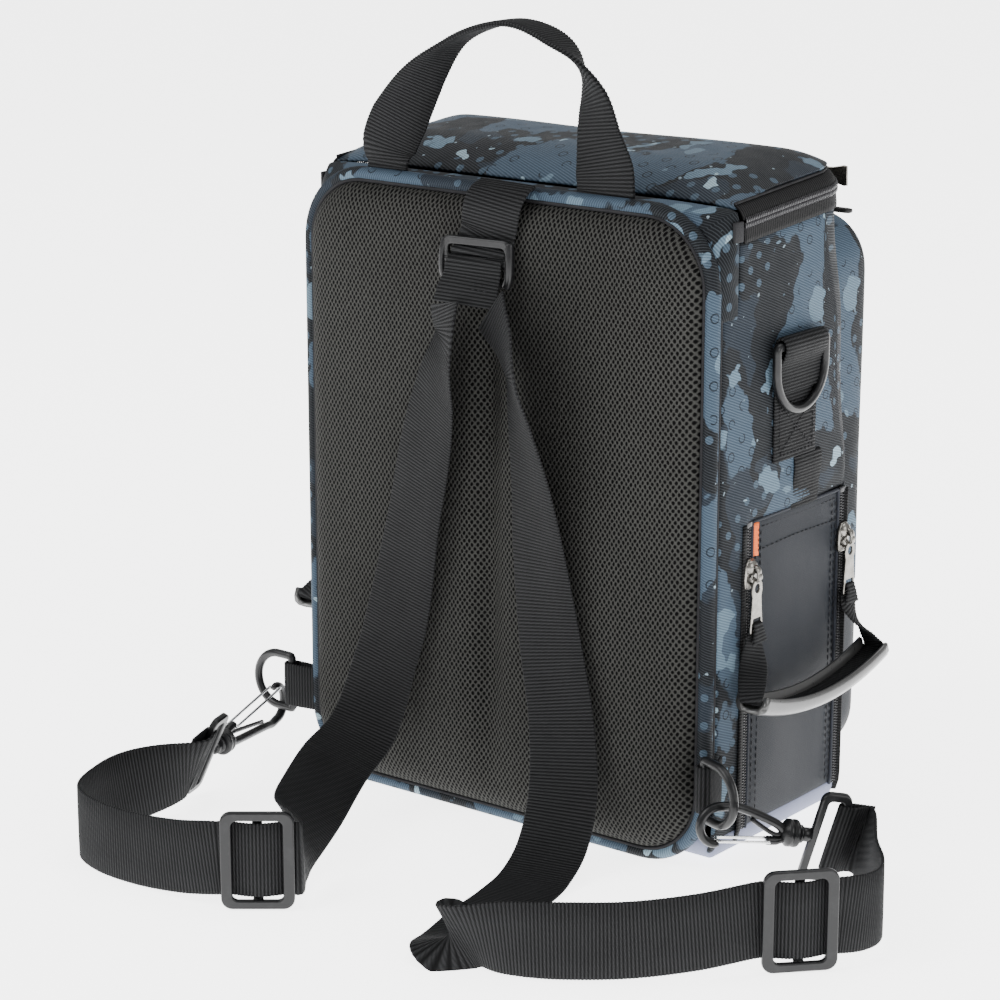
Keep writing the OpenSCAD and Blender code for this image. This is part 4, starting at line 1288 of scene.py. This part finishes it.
def strap_stations():
    left = [
        ((-13, -94, 278), (0.86, -0.5, 0.1), 36), ((-11, -98, 258), (0.77, -0.64, 0.03)),
        ((-21, -93, 228), (0.9, -0.35, 0.2)), ((-31, -89, 196), (0.97, -0.18, 0.18)),
        ((-40, -87, 160), (0.97, -0.14, 0.18)), ((-50, -86, 115), (0.97, 0.03, 0.15)),
        ((-59, -87, 83), (0.97, 0.1, 0.1)), ((-67, -96, 46), (0.93, 0.25, -0.2)),
        ((-62, -126, 34), (0.82, 0.35, -0.42)), ((-41, -167, 31), (0.74, 0.38, -0.55)),
        ((-27, -194, 28), (0.55, 0.2, -0.8)), ((-13, -209, 26), (0.2, 0.05, -0.98)),
        *[(by_glide(LEFT_GLIDE, LEFT_TURN, *g), DOWN) for g in GLIDE_PASS],
        ((-56, -250, 22.6), DOWN), ((-84, -252, 20.5), DOWN),
        ((-112, -250, 20), DOWN), ((-134, -240, 20), DOWN),
        ((-145, -218, 20), (0.05, 0, -1)), ((-147, -190, 20.5), (0.15, 0, -1))]
    left += ring_loop(HOOK_L, EYE_L, 25, (0.42, 0, -0.9))
    right = [
        ((16, -94, 278), (0.86, -0.4, 0.3), 36), ((27, -98, 264), (0.72, -0.6, 0.35)),
        ((34, -101, 246), (0.66, -0.72, 0.2)), ((37, -98, 225), (0.75, -0.6, 0.2)),
        ((40, -92, 190), (0.9, -0.4, 0.2)), ((42, -87, 150), (0.97, -0.15, 0.2)),
        ((48, -86, 108), (0.99, 0.05, 0.12)), ((56, -88, 72), (0.98, 0.12, 0.1)),
        ((62, -94, 38), (0.97, 0.2, 0.05)), ((65, -106, 14), (0.97, 0.2, 0)),
        ((69, -126, 3), (0.98, 0.15, 0)), ((74, -150, 1.2), (0.98, 0.2, 0)),
        ((79, -180, 1.2), (0.98, 0.18, 0)), ((84, -205, 2.5), (0.97, 0.1, 0.15)),
        ((92, -224, 10), (0.85, -0.2, 0.5), 36), ((106, -230, 16.5), (0.5, -0.3, 0.8), 37),
        ((124, -226, 19), (0.15, -0.1, 0.98)), ((147, -215, 20), UP),
        ((174, -195, 20.6), UP), ((197, -172, 22.8), UP),
        *[(by_glide(RIGHT_GLIDE, RIGHT_TURN, *g), UP) for g in reversed(GLIDE_PASS)],
        ((246, -106, 23.6), UP), ((245, -91, 22), UP),
        ((236, -74, 20.4), UP), ((220, -56, 20.5), (0.1, 0, 1))]
    right += ring_loop(HOOK_R, EYE_R, -12, (0.25, 0.1, 0.95))
    return left, right


def make_straps():
    for side, route in zip(("left", "right"), strap_stations()):
        keep(ribbon(f"{side}_strap_web", route), "bag", "webbing", f"{side}_strap")
    tab = [((7, BACK_Y - 8.2, 337), 34), ((7, BACK_Y - 16, 333.5), 34), ((6, PAD_Y - 1.4, 326), 33),
           ((4, PAD_Y - 1.8, 314), 32), ((2, PAD_Y - 3.0, BUCKLE_Z + 9), 31.5),
           ((1.6, PAD_Y - 6.6, BUCKLE_Z + 4.4), 31.5), ((1, PAD_Y - 3.4, BUCKLE_Z + 0.5), 31),
           ((1, PAD_Y - 1.4, BUCKLE_Z - 6), 31)]
    cover = [((1, PAD_Y - 3.0, BUCKLE_Z + 0.5), 31), ((1, PAD_Y - 8.8, BUCKLE_Z + 1.0), 32),
             ((1, PAD_Y - 11, BUCKLE_Z - 6), 33), ((1, PAD_Y - 14.5, BUCKLE_Z - 13), 35.5),
             ((1, PAD_Y - 17.0, BUCKLE_Z - 20), 37)]
    tab, cover = ([(p, (1, 0.1, 0), width) for p, width in route] for route in (tab, cover))
    keep(ribbon("top_tab_web", tab), "bag", "webbing", "top_tab")
    sewn = [ribbon("strap_cap_web", cover, thick=2.2)]
    for k in range(2):
        line = [(1 + x, PAD_Y - 13.4 - 1.0 * k - 0.1 * x, BUCKLE_Z - 9.5 - 2.6 * k)
                for x in np.linspace(-14, 14, 12)]
        sewn.append(stitches("cap_stitch", line, (0, -0.95, 0.3)))
    keep(join("strap_cap_web", sewn), "bag", "webbing", "strap_cap")


def make_handle():
    # x and z of the middle line, x and y of the direction across, width
    route = [(-76, 334, 1, 0, 26), (-76, 338.6, 1, 0, 26), (-75, 348, 0.96, 0.28, 30), (-68, 362, 0.85, 0.4, 30),
             (-51, 386, 0.5, 0.6, 24), (-32, 403, 0.1, 1, 19), (-12, 412, 0, 1, 19), (8, 415, 0, 1, 19),
             (28, 410, 0.1, 1, 19), (44, 399, -0.4, 0.6, 22), (54, 382, -0.8, 0.4, 28), (58, 362, -0.97, 0.2, 32),
             (61, 348, -1, 0, 34), (62, 338.6, -1, 0, 34), (62, 334, -1, 0, 34)]
    route = [((x, BACK_Y - 2, z), (across_x, across_y, 0), width) for x, z, across_x, across_y, width in route]
    handle = ribbon("carry_handle_web", route, thick=2.8, doubled=True)
    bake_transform(handle)
    name_it(handle, "webbing", "carry_handle")


# ---- moulded hardware ----
def stood(p, turn):
    """Local X along the heading, local Y up, local Z out of the face."""
    c, s = math.cos(turn), math.sin(turn)
    return Matrix(((c, 0, s, p[0]), (s, 0, -c, p[1]), (0, 1, 0, p[2]), (0, 0, 0, 1)))


def triglide(name, spot, turn):
    """A frame with a bar across, on the webbing at spot."""
    ring = plate(name, rounded(36, 50, 5.5, 0, 7, 2), [rounded(25, 41, 3, 0, 6, 2)[::-1]], 3.4, 0.9, PLASTIC)
    half = [(0, -21.5, -0.6), (0, -19.5, -2.6), (0, -10, -3.3)]
    path = spline(half + [(0, -y, z) for _, y, z in reversed(half)], 6)
    bar = tube("bar", path, 1.7, PLASTIC, 12, flat=(1.5, 0.72), side=OUT)
    return place(join(name, [ring, bar]), stood(spot, turn))


def hook_frame(p, q, roll):
    """Axes at p with X towards q, rolled about it by roll degrees."""
    d = unit(q - p)
    return (Matrix.Translation(Vector(p)) @ Matrix.Rotation(math.atan2(d[1], d[0]), 4, "Z")
            @ Matrix.Rotation(-math.asin(d[2]), 4, "Y") @ Matrix.Rotation(math.radians(roll), 4, "X"))


EYE_IN, EYE_OUT = 7.5, 12.0


def hook(name, length, where):
    """Swivel collar, arm and bow: the bow goes round its eye at length along X."""
    mid = (EYE_IN + EYE_OUT) / 2
    path = list(spline([(3.5, 0.2, 0), (8, 1.6, 0), (13, 4.4, 0), (length - 14, 9.0, 0), (length - 6, 10.4, 0),
                        (length, mid, 0)], 6))
    path += [(length + mid * math.sin(a), mid * math.cos(a), 0) for a in np.linspace(0.15, np.pi, 22)]
    path += [(length - 1.6, -mid + 0.3, 0)]
    radii = np.interp(np.linspace(0, 1, len(path)), [0, 0.15, 0.4, 0.6, 0.97, 1],
                      [2.6, 2.3, 2.2, 2.35, 2.1, 1.5])
    arm = tube("arm", path, radii, PLASTIC, 14, side=UP, flat=(1.08, 1.0))
    spine = tube("spine", spline([(6, -3.2, 0), (10, -4.6, 0), (13.4, -5, 0), (15.2, -5, 0)], 5),
                 [2.0] * 5 + [2.3] * 11, PLASTIC, 10, side=UP, flat=(1.1, 1.0))
    web = tube("web", spline([(7, 0.5, 0), (12, -1.5, 0), (length - 16, 5.0, 0)], 6), 1.2, PLASTIC, 8)
    collar = lathe("collar", [(0, 5.6), (0.3, 6.6), (1.0, 7.0), (2.4, 7.0), (2.9, 6.1), (3.4, 6.1), (3.9, 7.0),
                              (5.6, 7.0), (6.4, 6.3), (7.2, 4.6), (8.6, 3.4)], PLASTIC)
    return place(join(name, [arm, spine, web, collar]), where)


def gate(name, length, where):
    """The wire gate: two legs from the pin to a tip under the hook's nose."""
    z, r, tip = 3.2, 0.75, length - 0.2
    low = -5 - 0.085 * (tip - 15)
    leg = [(15, -5, z), (17, -5.2, z), (tip - 3, low + 0.25, z), (tip - 0.6, low, z * 0.75)]
    path = leg + [(tip, low, 0)] + [(x, y, -k) for x, y, k in reversed(leg)]
    wires = tube("wires", spline(path, 5), r, WIRE, 10)
    pin = tube("pin", [(15, -5, -4), (15, -5, 0), (15, -5, 4)], r, WIRE, 10, side=OUT)
    return place(join(name, [wires, pin]), where)


def strap_ring(name, where):
    """The hook's loop for the webbing, with its swivel pin."""
    ring = plate(name, rounded(16, 50, 4.5, 0, 6, 2), [rounded(8, 41, 2, 0, 5, 2)[::-1]], 3.6, 0.9, PLASTIC)
    place(ring, Matrix.Translation((-15, 0, 0)) @ Matrix.Rotation(math.radians(90), 4, "X"))
    pin = lathe("pin", [(-7.4, 2.4), (-7, 3.6), (-2.2, 3.6), (-1.6, 2.6), (3.6, 2.55), (4, 2.2)], PLASTIC, 20)
    head = lathe("head", [(-2.6, 3.4), (-2.2, 4.6), (-0.9, 4.6), (-0.5, 3.4)], PLASTIC, 20)
    return place(join(name, [ring, pin, head]), where)


def d_ring(name, width, reach, where):
    """Bar along local Z at the origin, bow towards local X."""
    r = width / 2
    bend_x = reach - r
    path = [(0, 0, z) for z in np.linspace(-r + 1, r - 1, 9)] + [(0.6, 0, r - 0.2), (1.6, 0, r)]
    path += [(x, 0, r) for x in np.linspace(3, bend_x, 4)]
    path += [(bend_x + r * math.sin(a), 0, r * math.cos(a)) for a in np.linspace(0.12, np.pi - 0.12, 26)]
    path += [(x, 0, -r) for x in np.linspace(bend_x, 3, 4)] + [(1.6, 0, -r), (0.6, 0, -r + 0.2)]
    return place(tube(name, path, RING_R, PLASTIC, 14, closed=True, side=(0, 1, 0)), where)


def fold(name, bar, back, length):
    """Upright webbing folded round a ring's bar: two layers that go back along `back` by length."""
    back = unit(np.array(back, float))
    n = np.cross(back, UP)
    inner = RING_R + 1.15
    spots = [(length, inner * 0.6), (length * 0.5, inner * 0.95), (0.5, inner)]
    route = spots + [(-inner * math.sin(a), inner * math.cos(a)) for a in np.linspace(0.35, np.pi - 0.35, 6)]
    route += [(a, -o) for a, o in reversed(spots)]
    return ribbon(name, same(UP, 24, *[bar + back * a + n * o for a, o in route]), thick=1.5)


def make_hooks():
    for side, collar, eye, roll, ring_roll in (("right", HOOK_R, EYE_R, 90, -12),
                                               ("left", HOOK_L, EYE_L, -90, 25)):
        length = float(np.linalg.norm(eye - collar))
        where = hook_frame(collar, eye, roll)
        keep(hook(f"{side}_snap_hook", length, where), f"{side}_hook", "black_plastic", f"{side}_hook")
        keep(gate(f"{side}_wire_gate", length, where), f"{side}_gate", "steel_wire", f"{side}_gate")
        ring = strap_ring(f"{side}_strap_loop", hook_frame(collar, eye, ring_roll))
        keep(ring, "bag", "black_plastic", f"{side}_strap_ring")


def make_rings():
    """The low rings with their tabs, then the side rings with their patches."""
    low = (("right", (HALF_W + 5, BACK_Y - 16, 50), -20, (-0.22, 1, 0), 17),
           ("left", (-145, BACK_Y - 6, 45), 180, (1, 0.08, 0), 18))
    for side, spot, turn, _, _ in low:
        where = Matrix.Translation(spot) @ Matrix.Rotation(math.radians(turn), 4, "Z")
        keep(d_ring(f"{side}_low_ring", 30, 25, where), f"{side}_ring", "black_plastic", f"{side}_ring")
    for side, spot, _, back, length in low:
        keep(fold(f"{side}_low_tab", np.array(spot), back, length), "bag", "webbing", f"{side}_tab")
    for side, s in (("right", 1), ("left", -1)):
        where = Matrix(((0, s, 0, s * (HALF_W + 5.8)), (0, 0, 1, 2), (-1, 0, 0, 262), (0, 0, 0, 1)))
        ring = d_ring(f"{side}_upper_ring", 44, 34, where)
        keep(ring, f"{side}_side_ring", "black_plastic", f"{side}_side_ring")
        make_patch(side, s)


def make_triglides():
    for side, spot, turn in (("left", LEFT_GLIDE, LEFT_TURN), ("right", RIGHT_GLIDE, RIGHT_TURN)):
        keep(triglide(f"{side}_triglide_frame", spot, turn), "bag", "black_plastic", f"{side}_triglide")


def make_patch(side, s):
    """Webbing up under the side ring, round its bar and back down, sewn to the wall."""
    x, wall, r = s * (HALF_W + 5.8), s * (HALF_W + 2.9), 3.5 * s
    route = [(wall, 203), (wall, 225), (wall, 250), (x - r * 0.9, 260), (x - r * 0.7, 264.6), (x, 266),
             (x + r * 0.7, 264.6), (x + r, 261.5), (x + r * 0.7, 257), (wall + 2.0 * s, 250),
             (wall + 1.6 * s, 238)]
    web = ribbon(f"{side}_patch_web", same((0, 1, 0), WEB_W, *[(x, 2, z) for x, z in route]), thick=1.5)
    box = ((-13, 206), (17, 206), (17, 232), (-13, 232), (-13, 206))
    sew = [stitches("box", [(wall + 0.9 * s, y, z) for y, z in line], (s, 0, 0), 2.2, 1.0)
           for line in (box, box[::2][:2], box[1::2])]
    keep(join(f"{side}_patch_web", [web] + sew), "bag", "webbing", f"{side}_side_patch")


def make_flap_loops():
    """Small webbing loops at the top of the side flaps."""
    bits = []
    for s in (1, -1):
        route = [(-0.6, FLAP_TOP - 1), (0.2, 184), (1.8, 196), (1.2, 201.5), (0.2, 201.8), (0.3, 192)]
        points = [(s * (HALF_W + 1.2 + out), 15.5, z) for out, z in route]
        bits.append(ribbon("loop", same((0, 1, 0), 25, *points), thick=1.3))
    keep(join("flap_top_loops", bits), "bag", "webbing", "flap_loops")


def make_buckle():
    holes = [rounded(33, 5.4, 2, 0, 5, 2)[::-1] + np.array([0, y]) for y in (5.0, -5.0)]
    parts = [plate("top_buckle_frame", rounded(42, 24, 5.5, 0, 7, 2), holes, 3.4, 0.9, PLASTIC)]
    path = spline([(-18.5, 0, 0.6), (-10, 0.3, 1.9), (0, 0.5, 2.3), (10, 0.3, 1.9), (18.5, 0, 0.6)], 6)
    parts.append(tube("bar", path, 1.9, PLASTIC, 12, flat=(1.2, 0.8), side=(0, 1, 0)))
    for s in (-1, 1):
        rail = spline([(s * 19, 10.5, 0.4), (s * 19.8, 3, 1.6), (s * 19.6, -6, 1.9), (s * 17.5, -11, 0.9)], 6)
        parts.append(tube("rail", rail, 1.9 + 0.4 * s, PLASTIC, 10))
    where = (Matrix.Translation((0, PAD_Y - 5.4, BUCKLE_Z)) @ Matrix.Rotation(math.radians(6), 4, "Z")
             @ Matrix.Rotation(math.radians(90), 4, "X"))
    keep(place(join("top_buckle_frame", parts), where), "bag", "black_plastic", "top_buckle")


# ---- inner boards keep their CAD shape ----
def finish_boards():
    for node in ("back_board", "divider_panel"):
        paint(frame["nodes"][node], LINING)


# ---- stage ----
FLOOR = 4000          # half the floor's width, mm


def make_stage():
    corners = [(FLOOR * x, FLOOR * y, -0.6) for x, y in ((-1, -1), (1, -1), (1, 1), (-1, 1))]
    floor = make("floor", corners, [(0, 1, 2, 3)], plain_floor())
    world = bpy.data.worlds.new("studio")
    bpy.context.scene.world = world
    world.use_nodes = True
    back = world.node_tree.nodes["Background"]
    back.inputs["Color"].default_value = (1, 1, 1, 1)
    back.inputs["Strength"].default_value = 0.7
    path = world.node_tree.nodes.new("ShaderNodeLightPath")
    seen = world.node_tree.nodes.new("ShaderNodeMath")
    seen.operation = "MULTIPLY_ADD"
    seen.inputs[1].default_value = 7.0
    seen.inputs[2].default_value = 0.7
    world.node_tree.links.new(path.outputs["Is Camera Ray"], seen.inputs[0])
    world.node_tree.links.new(seen.outputs[0], back.inputs["Strength"])
    light("key", (-1.1, -1.7, 1.9), 1.5, 46)
    light("side", (2.3, -0.3, 1.3), 1.3, 26)
    light("top", (0.1, 0.4, 2.3), 1.6, 24)


def plain_floor():
    s = Shader("floor_paper", roughness=0.9, specular=0.2)
    s.colour(s.mix(s.noise(s.coords("Object"), 3, 2.0), rgb(0.90, 0.90, 0.90), rgb(0.93, 0.93, 0.93)))
    s.b.inputs["Emission Color"].default_value = (1, 1, 1, 1)
    s.b.inputs["Emission Strength"].default_value = 3.8
    return s.m


def aim(ob, spot, target):
    """Puts ob at spot, looking at target; both in metres."""
    ob.location = spot
    ob.rotation_mode = "QUATERNION"
    ob.rotation_quaternion = (Vector(target) - Vector(spot)).to_track_quat("-Z", "Y")


def light(name, spot, size, power):
    data = bpy.data.lights.new(name, "AREA")
    data.size = size
    data.energy = power
    aim(link(name, data), spot, (0, 0, 0.15))


def make_camera():
    data = bpy.data.cameras.new("camera")
    data.lens, data.sensor_width = 108, 36
    cam = link("camera", data)
    aim(cam, (0.911, -1.2321, 0.5694), (-0.0516, 0, 0.1504))
    bpy.context.scene.camera = cam


make_camera()
make_stage()
make_wall()
make_base()
make_back()
make_lid()
make_gusset()
make_flaps()
make_tag()
make_side_pulls()
make_lid_pulls()
make_pocket()
make_pocket_zip()
make_pocket_slider()
make_straps()
make_handle()
make_triglides()
make_hooks()
make_rings()
make_flap_loops()
make_buckle()
finish_boards()
